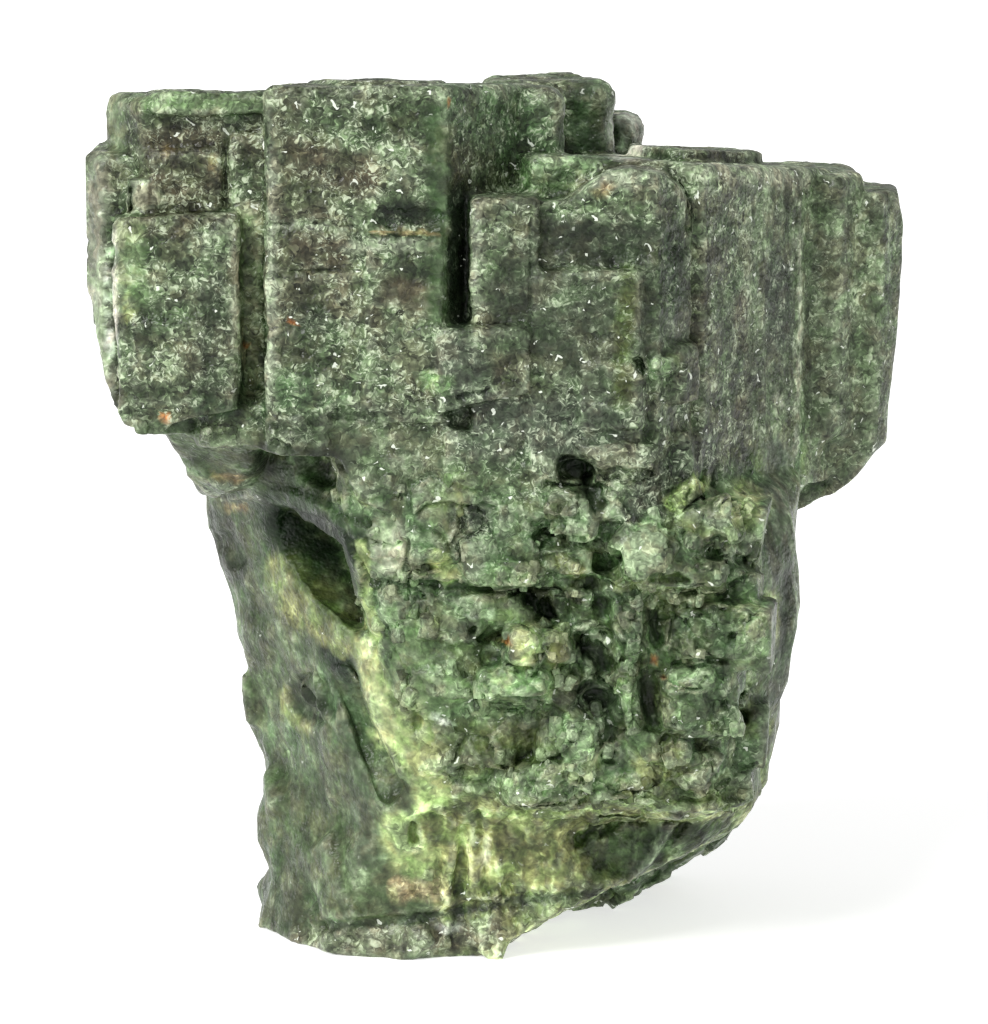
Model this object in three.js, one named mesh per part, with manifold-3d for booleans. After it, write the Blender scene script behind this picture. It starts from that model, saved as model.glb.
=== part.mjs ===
// A chrome tourmaline crystal: stubby parallel prisms, grown into one another at stepped heights, on a
// tapering root with an etched front, deep hollows at its left and a broken foot. It is one piece of
// mineral, so it is one closed solid. Millimetres, +Z up along the crystals' own long axis. -Y is the
// front and +X the right of someone who looks at it. The origin is under the middle of the box that the
// crystal fills, on the surface it stands on.

import * as THREE from "three";
import { ConvexGeometry } from "three/addons/geometries/ConvexGeometry.js";
import { ImprovedNoise } from "three/addons/math/ImprovedNoise.js";
import { mergeVertices } from "three/addons/utils/BufferGeometryUtils.js";
import Module from "manifold-3d";

// Driving dimensions of the whole crystal
const WIDTH = 16.7;
const DEPTH = 12.5;
const HEIGHT = 17.9;
const PRISM_ANGLE = THREE.MathUtils.degToRad(60); // between the normals of neighbouring prism faces
const EDGE_ROUNDING = 0.12; // usual wear of a crystal's top edge
const WIDE_EDGE = 0.15; // an edge as wide as this is rounded in two steps, and a finer one in one
const SHORTEST = 0.01; // no prism face is narrower than this
const OUTSIDE = 1; // how far what is cut away starts outside the surface
const FRONT = -Math.PI / 2; // the way the front faces
const WELD = 1e-4; // vertices closer than this are one vertex
const FINEST = 0.008; // cuts leave no edge or sliver finer than this

// The crown's prisms. x, y and z give the box that each fills. cut gives how far along x the sloping
// prism faces cut back its upright corners. tilt is how much its top rises for each mm along x and y.
// outline trims it, seen from the front, as points of x and z. side trims it, seen from the right, as
// points of y and z.
const CROWN = {
  middleColumn: {
    x: [-4.7, 0.62], y: [-5.8, 0.9], z: [9.5, 17.9], tilt: [0.006, -0.055],
    cut: { frontLeft: 0.1, frontRight: 1.75, backLeft: 0.9, backRight: 0.7 },
    outline: [
      [-4.8, 10.62], [-3.3, 10.6], [-3, 9.7], [-1.8, 9.2], [0.7, 9.2], [0.7, 18.5], [-4.8, 18.5],
    ],
  },
  middleColumnRight: {
    x: [-0.6, 1.17], y: [-3.3, 0.4], z: [10, 17.74], edge: 0.3, tilt: [0, -0.04],
    cut: { frontRight: 0.15, backRight: 0.6 },
  },
  leftTop: {
    x: [-7.95, -4.4], y: [-4.8, 0.6], z: [10.9, 17.7], edge: 0.24, tilt: [0, -0.05],
    cut: { frontLeft: 0.8, backLeft: 0.9, backRight: 0.4 },
    outline: [[-8.1, 18.2], [-8.1, 12.2], [-7.6, 11.2], [-7.05, 10.85], [-4.3, 10.6], [-4.3, 18.2]],
  },
  leftTopLip: {
    x: [-7.15, -4.5], y: [-5.12, -2.5], z: [17.32, 17.76], edge: 0.1, tilt: [0, -0.05],
    cut: { frontLeft: 0.3 },
  },
  leftWing: {
    x: [-8.34, -7.22], y: [-4.5, 1.4], z: [9.8, 16.5],
    cut: { frontLeft: 0.32, backLeft: 0.7 },
    outline: [
      [-8.5, 17], [-8.5, 14.6], [-8.27, 13.6], [-8.1, 12.75], [-7.92, 11.9], [-7.62, 11.2],
      [-7.05, 10.85], [-6.4, 10.5], [-6, 10.4], [-6, 17],
    ],
  },
  leftFront: {
    x: [-7.7, -5.22], y: [-5.7, -2.6], z: [10.4, 15.3], tilt: [0.05, 0], edge: 0.08,
    cut: { frontLeft: 0.14, frontRight: 0.1 },
    outline: [
      [-7.8, 16], [-7.62, 11.5], [-7.45, 11.2], [-6.9, 10.98], [-6.5, 11.25], [-5.1, 11.55], [-5.1, 16],
    ],
  },
  channelRib: {
    x: [-5.42, -4.5], y: [-4.95, -2.5], z: [11.2, 16.93], edge: 0.08,
    cut: { frontLeft: 0.05 },
  },
  shelf: {
    x: [-6.15, -4.6], y: [-5.4, -3], z: [10.7, 11.75],
    cut: { frontLeft: 0.3 },
  },
  rightBlock: {
    x: [0.2, 7.45], y: [-4.2, 4.2], z: [9.3, 16.5], tilt: [-0.055, -0.06], edge: 0.2,
    cut: { frontLeft: 0.33, frontRight: 3.5, backRight: 1.3, backLeft: 0.8 },
    outline: [[0, 9], [0, 18], [8, 18], [8, 10.2], [7.3, 9.6], [6.3, 9]],
  },
  frontNarrow: {
    x: [-0.67, 0.7], y: [-5.86, -3], z: [11, 15.73], edge: 0.08,
    cut: { frontLeft: 0.06 },
  },
  frontArch: {
    x: [0.52, 3.72], y: [-5.62, -2.5], z: [9.5, 16.32], edge: 0.1,
    cut: { frontRight: 0.7 },
    outline: [
      [0.4, 9], [0.5, 15.6], [1.2, 15.66], [1.6, 15.9], [2, 16.2], [2.5, 16.3], [3.1, 16.17],
      [3.5, 15.85], [3.68, 15.5], [3.75, 9],
    ],
  },
  frontWide: {
    x: [0.5, 3], y: [-5.9, -2.5], z: [9.4, 14.3], edge: 0.07,
    cut: { frontRight: 0.35 },
  },
  frontLow: {
    x: [-1.33, 0.55], y: [-6.1, -3], z: [11, 13.26], edge: 0.1,
    cut: { frontLeft: 0.06, frontRight: 0.1 },
    outline: [[-1.4, 11.5], [0.6, 11.95], [0.6, 13.5], [-1.4, 13.5]],
  },
  rightShoulder: {
    x: [4.8, 7.5], y: [0.1, 4.6], z: [10.2, 15.74], edge: 0.25,
    cut: { frontRight: 0.5, backRight: 0.8 },
  },
  rightWing: {
    x: [4.6, 8.44], y: [0.9, 5.2], z: [8, 15.3], edge: 0.16,
    cut: { frontLeft: 0.2, frontRight: 0.55, backRight: 1 },
    outline: [
      [4.5, 16], [8.3, 16], [8.34, 15.1], [8.42, 14.5], [8.3, 12.6], [8.2, 11.4], [8.08, 10.4],
      [7.7, 9.5], [6.95, 8.96], [6.2, 8.6], [4.5, 8.4],
    ],
    side: [[0.5, 8], [2.2, 8.3], [3.9, 9.2], [5.4, 11], [5.4, 16], [0.5, 16]],
  },
  leftSide: {
    x: [-8, -6.2], y: [0.7, 2.9], z: [11.4, 14.9], edge: 0.14,
    cut: { frontLeft: 0.2, backLeft: 0.5 },
  },
  backTall: {
    x: [-0.5, 2.28], y: [0.7, 4.4], z: [10, 17.62], edge: 0.28,
    cut: { frontRight: 0.2, backLeft: 0.6, backRight: 0.8 },
  },
  backSmall: {
    x: [1.7, 2.98], y: [3.3, 5.6], z: [10, 16.76], edge: 0.3,
    cut: { frontRight: 0.25, backRight: 0.4 },
  },
  backLeft: {
    x: [-7.3, -3.4], y: [-0.6, 4.6], z: [10.9, 16.55], tilt: [0.02, 0],
    cut: { frontLeft: 0.5, backLeft: 1.5, backRight: 0.6 },
  },
  backMiddle: {
    x: [-4.3, -0.2], y: [0.2, 5.9], z: [9.2, 17.1], edge: 0.16, tilt: [0, -0.03],
    cut: { backLeft: 1.1, backRight: 1.2 },
    side: [[0, 9], [4.9, 9], [6, 10.4], [6, 18], [0, 18]],
  },
  backLow: {
    x: [-1.4, 3.1], y: [3.2, 6.25], z: [8.4, 14.7], tilt: [0, 0.03],
    cut: { backLeft: 0.9, backRight: 0.8 },
    side: [[3, 8], [5, 8.5], [6.3, 10.1], [6.3, 15.5], [3, 15.5]],
  },
  backRight: {
    x: [2.6, 6.6], y: [2.6, 5.9], z: [8.9, 15.3], edge: 0.16,
    cut: { backLeft: 0.5, backRight: 1.1 },
  },
  backRightLow: {
    x: [3.4, 5.7], y: [4, 6.1], z: [8.4, 12.4], edge: 0.14,
    cut: { backLeft: 0.4, backRight: 0.6 },
    side: [[3.8, 8], [5.1, 8.3], [6.2, 9.6], [6.2, 13], [3.8, 13]],
  },
  backLeftLow: {
    x: [-6.5, -4.6], y: [2, 5.4], z: [9.7, 13.9], edge: 0.14,
    cut: { backLeft: 0.8, backRight: 0.5 },
    side: [[1.8, 9.4], [4.2, 9.7], [5.5, 11.3], [5.5, 14.5], [1.8, 14.5]],
  },
};

// Growth steps: thin plates that stand proud of the crown's faces and tops.
const GROWTH_STEPS = {
  middleColumnPlate: {
    x: [-2.72, -1.16], y: [-5.98, -4], z: [11.3, 15], edge: 0.06,
    cut: { frontRight: 0.1 },
  },
  middleColumnLedge: { x: [-4.68, -2.4], y: [-5.88, -4], z: [11.3, 14.25], edge: 0.05 },
  middleColumnStrip: { x: [-4.66, -3.4], y: [-5.94, -4], z: [11.5, 13.2], edge: 0.05 },
  middleColumnFoot: { x: [-4.7, -3.42], y: [-5.86, -3], z: [10.62, 11.5], edge: 0.08 },
  middleColumnTop: {
    x: [-4, -1.2], y: [-3, 0.4], z: [17, 17.86], tilt: [0, -0.055], edge: 0.05,
    cut: { frontLeft: 0.7, frontRight: 0.7, backLeft: 0.7, backRight: 0.7 },
  },
  leftTopPlate: {
    x: [-7.05, -5.6], y: [-4.92, -3], z: [15.1, 16.6], edge: 0.05,
    cut: { frontLeft: 0.1 },
  },
  leftWingBlock: { x: [-7.45, -6.9], y: [-5, -3], z: [15.2, 16.05], edge: 0.05 },
  leftFrontPlate: {
    x: [-7.4, -5.9], y: [-5.78, -4], z: [11.6, 13.3], edge: 0.05,
    cut: { frontLeft: 0.1 },
  },
  leftWingPlate: {
    x: [-8.34, -7.6], y: [-2.6, 0.2], z: [12.9, 15.4], edge: 0.05,
    cut: { frontLeft: 0.1, backLeft: 0.1 },
  },
  frontWideStep: { x: [1.5, 2.85], y: [-6, -4], z: [11.2, 12.5], cut: { frontRight: 0.2 }, edge: 0.06 },
  frontNib: { x: [2.95, 3.85], y: [-5.3, -3], z: [11.6, 12.75], cut: { frontRight: 0.3 }, edge: 0.16 },
  rightBlockPlate: { x: [2.9, 5.2], y: [-4.3, -1], z: [10.2, 13.7], cut: { frontRight: 2 }, edge: 0.06 },
  rightBlockTop: {
    x: [2.6, 5.4], y: [-1.8, 3], z: [15, 16.45], tilt: [-0.04, -0.06], edge: 0.05,
    cut: { frontLeft: 0.8, frontRight: 1.3, backLeft: 0.8, backRight: 0.8 },
  },
  rightWingPlate: { x: [6.2, 8.1], y: [0.76, 2], z: [9.9, 12.8], cut: { frontRight: 0.3 }, edge: 0.08 },
  rightWingBack: { x: [7.2, 8.3], y: [2.6, 4.9], z: [11.2, 13.6], cut: { backRight: 0.6 }, edge: 0.06 },
  backLeftTop: {
    x: [-6.6, -4.6], y: [1, 3.9], z: [16, 16.72], edge: 0.05,
    cut: { frontLeft: 0.5, frontRight: 0.5, backLeft: 0.8, backRight: 0.5 },
  },
  backLeftPlate: {
    x: [-7.6, -6.4], y: [0.6, 2.4], z: [11.2, 14.4], edge: 0.06,
    cut: { frontLeft: 0.1, backLeft: 0.1 },
  },
  backMiddlePlate: {
    x: [-3.2, -1.6], y: [4, 6.08], z: [9.4, 14.2], edge: 0.06,
    cut: { backLeft: 0.1, backRight: 0.2 },
  },
  backMiddleHigh: { x: [-2.9, -1.1], y: [4, 6], z: [13, 16.2], cut: { backRight: 0.3 }, edge: 0.06 },
  backLowPlate: { x: [-0.4, 1.5], y: [4.4, 6.25], z: [8.8, 12.6], cut: { backLeft: 0.2 }, edge: 0.06 },
  backRightPlate: {
    x: [3.1, 4.9], y: [4, 6.06], z: [12.2, 14.3], edge: 0.06,
    cut: { backLeft: 0.1, backRight: 0.2 },
  },
};

// The root: the faces that close it, each with the way it faces in degrees and how far it stands from
// the root's axis, as pairs of height and distance from the top down.
const ROOT_AXIS = { x: 0.3, y: 0 };
const ROOT_TOP = 12.2;
const ROOT_FACES = {
  front: {
    facing: -90,
    stands: [
      [12.2, 5.6], [10.2, 5.85], [8.6, 5.6], [6.9, 5.3], [5.2, 5.05], [3.5, 4.7], [3.1, 4.15],
      [2.1, 3.9], [1.1, 3.65], [0, 3.55],
    ],
  },
  frontRight: {
    facing: -30,
    stands: [
      [12.2, 5.05], [9.8, 5.05], [9.3, 5.9], [8.2, 6.2], [6.9, 6.15], [5.2, 5.9], [3.4, 5.65], [3, 5],
      [2.1, 4.75], [1.1, 4.5], [0, 4.2],
    ],
  },
  right: {
    facing: 0,
    stands: [
      [12.2, 5.7], [8.6, 5.76], [8.1, 5.8], [6.9, 5.66], [5.2, 5.4], [3.6, 5.25], [2.8, 5.06],
      [2.3, 4.74], [1.5, 4.6], [0, 4.4],
    ],
  },
  backRight: { facing: 30, stands: [[12.2, 6], [8.6, 5.9], [5.2, 5.6], [2.1, 5.2], [0, 4.8]] },
  back: { facing: 90, stands: [[12.2, 5.4], [8.6, 5.3], [5.2, 5], [2.1, 4.8], [0, 4.6]] },
  backLeft: {
    facing: 150,
    stands: [[12.2, 6.2], [8.6, 6.1], [6.9, 5.8], [3.4, 5.35], [2.1, 5.4], [0, 5.1]],
  },
  left: {
    facing: 180,
    stands: [
      [12.2, 6.8], [9.3, 6.6], [7.6, 6.4], [6.9, 6], [5.6, 5.8], [4.8, 5.72], [4, 5.55], [3.15, 5.25],
      [2.3, 5.5], [1.9, 5.48], [1.1, 5.25], [0.6, 5.5], [0, 5.45],
    ],
  },
  frontLeft: {
    facing: -150,
    stands: [
      [12.2, 5.7], [10.2, 5.7], [8.6, 5.45], [6.9, 5.1], [5.2, 4.85], [3.4, 4.6], [1.1, 4.9], [0, 5.15],
    ],
  },
};
const ROOT_STEPS_AROUND = 44;
const ROOT_STEPS_UP = 22;
const ROOT_ROUGHNESS = 0.045; // height of its lumps, as a share of its reach
const ROOT_LUMP = 1.1; // width of its lumps
const CLOSER_STEPS = 4; // rounds that close in on a place on the root's front
const MOST_ASIDE = 0.9; // the front ends this far aside, as a share of the root's reach

// The shoulders that carry the crown's overhang down to the root, as corner points.
const SHOULDERS = {
  left: [
    [-6.9, -4.1, 11.1], [-7.1, -1, 11], [-6.6, 3.8, 11], [-4.6, -5.2, 11], [-4.7, 4.6, 10.8],
    [-6.6, -2.5, 10.2], [-6.2, -2.1, 9.3], [-6.2, 1.5, 9.4], [-5, -3.6, 9.8], [-5.2, 3.8, 8.8],
  ],
  right: [
    [7.2, 1.4, 10.3], [7.1, 4.2, 10.3], [5.6, -1.4, 10], [4, 5.5, 10],
    [6.05, -0.4, 9], [6, 2.6, 8.3], [4.6, 4.6, 7.6],
  ],
  back: [
    [-3.4, 5.6, 10], [4.6, 5.8, 9.8], [-3, 5, 7.8], [4.2, 4.8, 7.6], [-2, 3, 9], [3, 3, 9],
  ],
};

// Ribs: upright crystal edges that run down the root's back and sides. The angle is the way that each
// faces.
const RIB_TAPER = 0.5; // how far from its end a rib begins to sink into the root
const RIBS = [
  { angle: 30, z: [1.6, 7.2], wide: 1.5, out: 0.2 },
  { angle: 46, z: [3.2, 9], wide: 1.3, out: 0.3 },
  { angle: 57, z: [0, 5.8], wide: 1.7, out: 0.32 },
  { angle: 70, z: [4.4, 9.2], wide: 1.9, out: 0.3 },
  { angle: 81, z: [0, 4.6], wide: 1.6, out: 0.4 },
  { angle: 94, z: [2.6, 8], wide: 1.2, out: 0.42 },
  { angle: 108, z: [0, 5.4], wide: 1.8, out: 0.3 },
  { angle: 119, z: [4.8, 9.4], wide: 1.6, out: 0.34 },
  { angle: 134, z: [1.2, 7.4], wide: 1.3, out: 0.3 },
  { angle: 148, z: [0, 4.2], wide: 1.5, out: 0.2 },
];

// Hollows, each an outline of x and z on the front, and the y and the size of its floor.
const HOLLOWS = {
  slotUnderColumn: {
    outline: [[-5.15, 10.55], [-3.24, 10.5], [-3.16, 9.75], [-4.9, 10.1]],
    floor: -3.6, shrink: 0.9,
  },
  upperHollow: {
    outline: [[-4.9, 9.5], [-3.15, 8.85], [-2.5, 6.5], [-3.1, 6.75], [-4.78, 8.1]],
    floor: -0.4, shrink: 0.78,
  },
  crevice: {
    outline: [[-3.76, 6.6], [-3.1, 6.35], [-2.6, 4.75], [-2.25, 4.1], [-2.7, 3.9], [-3.44, 5.4]],
    floor: -1.9, shrink: 0.75,
  },
  creviceFoot: {
    outline: [[-2.75, 4.75], [-2.4, 4.65], [-1.85, 3.65], [-2, 3.35], [-2.45, 2.85], [-3, 4.3]],
    floor: -2.3, shrink: 0.75,
  },
  sidePit: {
    outline: [[-4.3, 5.5], [-4, 5.66], [-3.72, 5.5], [-3.66, 5.2], [-3.9, 4.98], [-4.22, 5.1]],
    floor: -1.7, shrink: 0.6,
  },
  channelFoot: {
    outline: [[-5.15, 12.75], [-4.74, 12.75], [-4.74, 11.8], [-5.1, 11.8]],
    floor: -3.6, shrink: 0.9,
  },
  underLedge: {
    outline: [[0.7, 2.9], [3.6, 3.15], [5.2, 2.7], [4.6, 1.5], [2.2, 1.5], [1.1, 2]],
    floor: -3.1, shrink: 0.85,
  },
};

// A hollow in the back of the root, as corner points.
const BACK_HOLLOW = [
  [-2, 6.2, 7.8], [0.9, 6.4, 7.4], [0.6, 6, 5.2], [-1.7, 6, 4.8], [-1, 3.7, 7], [0, 3.8, 5.9],
  [-0.8, 4, 5.6],
];

// The chips broken off the foot: they leave its right and front clear of the surface it stands on.
const CHIPS = {
  right: [
    [0, -2.2, -0.3], [0.8, 0.1, -0.3], [2.1, 0.9, -0.3], [8, 0.9, -0.3], [8, -7, -0.3], [-0.4, -7, -0.3],
    [0, -2.2, 0], [0.8, 0.1, 0], [2.1, 0.9, 0], [8, 2.3, 3], [8, -7, 4], [2.4, -7, 1.7], [0.3, -7, 1.3],
  ],
  backRight: [
    [2.1, 0.9, -0.3], [4.9, 7, -0.3], [8, 7, -0.3], [8, 0.9, -0.3],
    [2.1, 0.9, 0], [4.9, 7, 0], [8, 7, 2], [8, 0.9, 3],
  ],
};

// Blocks of the etched front, where single crystals stand proud: middle x and z, width, height, how far
// it stands out past the root's front, and its turn in the plane of the front in degrees.
const FRONT_BLOCKS = [
  { x: -0.5, z: 10.45, w: 1.4, h: 1.3, out: 0.08, turn: 4 },
  { x: -1.55, z: 9.2, w: 1.2, h: 1.3, out: 0.2, turn: -4 },
  { x: 0, z: 8.95, w: 1.7, h: 1.7, out: 0.3, turn: -3 },
  { x: 1.3, z: 9.35, w: 0.9, h: 0.7, out: 0.36, turn: -5 },
  { x: 1.35, z: 8.55, w: 1.2, h: 0.7, out: 0.34, turn: 6 },
  { x: 2.2, z: 10.55, w: 1.5, h: 0.8, out: 0.3, turn: 4 },
  { x: 3.3, z: 10.3, w: 1.1, h: 1.5, out: 0.15, turn: -12 },
  { x: 2.75, z: 8.75, w: 1.1, h: 1, out: 0.5, turn: 32 },
  { x: 2.45, z: 7.95, w: 0.75, h: 0.6, out: 0.42, turn: 24 },
  { x: 3.9, z: 9.15, w: 1.3, h: 0.9, out: 0.1, turn: -18 },
  { x: 4.7, z: 8.9, w: 0.9, h: 1.2, out: 0.08, turn: 8 },
  { x: 3.7, z: 8.15, w: 1.5, h: 0.7, out: 0.26, turn: -6 },
  { x: 4.6, z: 7.9, w: 0.9, h: 0.6, out: 0.2, turn: 10 },
  { x: 1.5, z: 7.75, w: 0.7, h: 0.5, out: 0.3, turn: 6 },
  { x: -1.1, z: 7.3, w: 1.4, h: 1, out: 0.16, turn: 5 },
  { x: 0.3, z: 6.75, w: 0.75, h: 0.85, out: 0.62, turn: 12 },
  { x: 0.95, z: 6.8, w: 0.8, h: 0.9, out: 0.5, turn: -10 },
  { x: 0.2, z: 6, w: 1.6, h: 0.7, out: 0.52, turn: 3 },
  { x: -1, z: 6.2, w: 1, h: 1, out: 0.2, turn: 10 },
  { x: 2.5, z: 7.1, w: 0.8, h: 1.1, out: 0.46, turn: -6 },
  { x: 2.4, z: 6.2, w: 0.6, h: 0.7, out: 0.4, turn: 14 },
  { x: 1.35, z: 5.9, w: 0.75, h: 0.6, out: 0.4, turn: -12 },
  { x: 2.4, z: 5.35, w: 0.6, h: 0.9, out: 0.42, turn: -16 },
  { x: 2.9, z: 4.7, w: 0.5, h: 0.9, out: 0.42, turn: -28 },
  { x: 4.3, z: 6.95, w: 1.9, h: 1.3, out: 0.36, turn: 6 },
  { x: 3.9, z: 5.55, w: 1.7, h: 1.4, out: 0.42, turn: -5 },
  { x: 4.9, z: 4.7, w: 0.9, h: 1.3, out: 0.2, turn: 5 },
  { x: 3.7, z: 4.2, w: 1, h: 1, out: 0.42, turn: 24 },
  { x: 4.6, z: 3.6, w: 1, h: 0.8, out: 0.3, turn: -6 },
  { x: 1.35, z: 4.75, w: 1.3, h: 1.4, out: 0.56, turn: 10 },
  { x: 0.7, z: 3.95, w: 1.3, h: 0.9, out: 0.5, turn: 0 },
  { x: 2.5, z: 3.6, w: 1.6, h: 0.5, out: 0.4, turn: -2 },
  { x: 3.7, z: 3.3, w: 1.3, h: 0.4, out: 0.34, turn: -3 },
  { x: -0.4, z: 4.9, w: 1, h: 1.4, out: 0.2, turn: 4 },
  { x: -1.3, z: 4.6, w: 0.8, h: 1.3, out: 0.12, turn: 0 },
];

// Pits etched into the front, measured as the blocks are, with their depth behind the surface.
const FRONT_PITS = [
  { x: 1.4, z: 10.2, w: 0.7, h: 0.6, deep: 0.7 },
  { x: 2.55, z: 10.08, w: 1.4, h: 0.14, deep: 0.5 },
  { x: 1, z: 9, w: 0.75, h: 0.28, deep: 0.3 },
  { x: 2, z: 8.5, w: 0.4, h: 0.5, deep: 0.5 },
  { x: 0, z: 7.9, w: 2.2, h: 0.16, deep: 0.35 },
  { x: 0.95, z: 7.5, w: 0.7, h: 0.5, deep: 1.2 },
  { x: 1.85, z: 6.85, w: 0.55, h: 0.5, deep: 1 },
  { x: 1.85, z: 5.6, w: 0.6, h: 0.6, deep: 0.9 },
  { x: 3.1, z: 7.25, w: 0.22, h: 1, deep: 0.6 },
  { x: 4, z: 7.7, w: 1.6, h: 0.13, deep: 0.4 },
  { x: -0.42, z: 6.9, w: 0.2, h: 0.2, deep: 0.5 },
  { x: -0.15, z: 7, w: 0.4, h: 0.3, deep: 0.6 },
  { x: 4.75, z: 5.55, w: 0.26, h: 0.24, deep: 0.6 },
  { x: 4.75, z: 5.1, w: 0.4, h: 0.34, deep: 0.6 },
  { x: -0.3, z: 5.45, w: 1.5, h: 0.16, deep: 0.4 },
  { x: 2.05, z: 4.3, w: 0.4, h: 0.7, deep: 0.6 },
  { x: 3.3, z: 4.75, w: 0.3, h: 0.34, deep: 0.5 },
  { x: -1.5, z: 8.35, w: 0.9, h: 0.2, deep: 0.4 },
];

const PIT_MOUTH = 1.2; // a pit's mouth against its own width
const PIT_FLOOR = 0.5; // its floor, likewise
const PIT_WALL = 0.7; // how far down its walls run, against its depth

// Chunks scattered over the root: small crystal corners, drawn one after the other from the seed.
const CHUNK_SEED = 11;
const CHUNKS = [
  { count: 6, angle: [172, 222], z: [0.5, 8.4], size: [0.9, 1.5], out: [0.06, 0.14] },
  { count: 6, angle: [-140, -90], z: [0.3, 1.2], size: [0.7, 1.2], out: [0.06, 0.14] },
  { count: 10, angle: [15, 160], z: [0.6, 8.6], size: [0.9, 1.8], out: [0.2, 0.4] },
];
const CHUNK_SUNK = 0.9; // how far each reaches into the rock
const CHUNK_WEAR = 0.7; // its outer end, against its own width
const CHUNK_JITTER = 0.3; // how far its corners may be out of place, as a share of its width

// Flutes: upright etch grooves low on the front, between the hollows and the ledge.
const FLUTES = { first: -1.9, last: 0.6, count: 6, width: 0.3, deep: 0.24, foot: 1.3, head: [3.3, 2.4] };

const wasm = await Module();
wasm.setup();
const lumps = new ImprovedNoise();

// A closed three.js geometry as a solid that can be joined and cut.
function solid(geometry) {
  const bare = geometry.clone();
  bare.deleteAttribute("normal");
  bare.deleteAttribute("uv");
  const merged = mergeVertices(bare, WELD);
  return new wasm.Manifold(
    new wasm.Mesh({
      numProp: 3,
      vertProperties: new Float32Array(merged.attributes.position.array),
      triVerts: new Uint32Array(merged.index.array),
    }),
  );
}

const joined = (solids) => solids.reduce((all, one) => all.add(one));

// The geometry, and the solid, that has these points as its corners.
const convex = (points) => new ConvexGeometry(points.map((point) => new THREE.Vector3(...point)));
const hull = (points) => solid(convex(points));

// A repeatable draw of numbers from 0 to 1.
function drawer(seed) {
  let state = seed;
  return () => {
    state = (state * 1664525 + 1013904223) % 4294967296;
    return state / 4294967296;
  };
}

// The corners of a prism's outline seen from above, drawn in by inset: its box, with each upright corner
// cut back by a sloping prism face.
function prismOutline([left, right], [front, back], cut, inset) {
  const drawnIn = inset * (1 + 1 / Math.tan(PRISM_ANGLE) - 1 / Math.sin(PRISM_ANGLE));
  const run = (name) => Math.max((cut[name] ?? 0) - drawnIn, SHORTEST);
  const rise = (name) => run(name) * Math.tan(PRISM_ANGLE);
  const [l, r, f, b] = [left + inset, right - inset, front + inset, back - inset];
  return [
    [l + run("frontLeft"), f],
    [r - run("frontRight"), f],
    [r, f + rise("frontRight")],
    [r, b - rise("backRight")],
    [r - run("backRight"), b],
    [l + run("backLeft"), b],
    [l, b - rise("backLeft")],
    [l, f + rise("frontLeft")],
  ];
}

// One upright prism of the crown, with a worn top edge and a top that may be tilted.
function prism({ x, y, z: [foot, top], cut = {}, tilt = [0, 0], edge = EDGE_ROUNDING, outline, side }) {
  const rings = [{ z: foot, inset: 0 }];
  const steps = edge < WIDE_EDGE ? 1 : 2;
  for (let step = 0; step <= steps; step++) {
    const turn = (step / steps) * (Math.PI / 2);
    rings.push({ z: top - edge + edge * Math.sin(turn), inset: edge * (1 - Math.cos(turn)) });
  }
  const corners = rings.flatMap(({ z, inset }) =>
    prismOutline(x, y, cut, inset).map(([px, py]) => {
      const risen = z > foot ? (px - x[0]) * tilt[0] + (py - y[0]) * tilt[1] : 0;
      return [px, py, z + risen];
    }),
  );
  const fromFront = outline ? [throughCrystal(outline, 0)] : [];
  const fromSide = side ? [throughCrystal(side, 1)] : [];
  return [...fromFront, ...fromSide].reduce((kept, trim) => kept.intersect(trim), hull(corners));
}

// A solid with this outline through the whole crystal, from the front, or from the side after a quarter
// turn.
function throughCrystal(outline, quarterTurns) {
  const shape = new THREE.Shape(outline.map(([along, z]) => new THREE.Vector2(along, z)));
  const geometry = new THREE.ExtrudeGeometry(shape, { depth: 2 * WIDTH, bevelEnabled: false });
  geometry.rotateX(Math.PI / 2).translate(0, WIDTH, 0);
  return solid(geometry.rotateZ((quarterTurns * Math.PI) / 2));
}

// How far one face of the root stands from its axis at a height.
function faceStands(stands, z) {
  const above = THREE.MathUtils.clamp(stands.findIndex(([level]) => level <= z), 1, stands.length - 1);
  const [[upper, upperStands], [lower, lowerStands]] = [stands[above - 1], stands[above]];
  return THREE.MathUtils.mapLinear(z, lower, upper, lowerStands, upperStands);
}

// How far the root's surface stands from its axis, in a direction and at a height.
function rootReach(angle, z) {
  const reaches = Object.values(ROOT_FACES).map(({ facing, stands }) => {
    const towards = Math.cos(angle - THREE.MathUtils.degToRad(facing));
    return towards > SHORTEST ? faceStands(stands, z) / towards : Infinity;
  });
  return Math.min(...reaches);
}

// The root: a cylinder whose wall is moved out to the root's faces and roughened. Its foot stays flat.
function root() {
  const geometry = new THREE.CylinderGeometry(1, 1, ROOT_TOP, ROOT_STEPS_AROUND, ROOT_STEPS_UP);
  geometry.rotateX(Math.PI / 2).translate(0, 0, ROOT_TOP / 2);
  const at = geometry.attributes.position;
  for (let i = 0; i < at.count; i++) {
    const z = at.getZ(i);
    const angle = Math.atan2(at.getY(i), at.getX(i));
    const reach = rootReach(angle, z) * Math.hypot(at.getX(i), at.getY(i));
    const [x, y] = [reach * Math.cos(angle), reach * Math.sin(angle)];
    const rough = 1 + ROOT_ROUGHNESS * lumps.noise(x / ROOT_LUMP, y / ROOT_LUMP, z / ROOT_LUMP);
    at.setXYZ(i, ROOT_AXIS.x + x * rough, ROOT_AXIS.y + y * rough, z);
  }
  return solid(geometry);
}

// Where a direction from the root's axis meets its surface at a height.
function onRoot(angle, z) {
  const reach = rootReach(angle, z);
  return [ROOT_AXIS.x + reach * Math.cos(angle), ROOT_AXIS.y + reach * Math.sin(angle), z];
}

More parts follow.
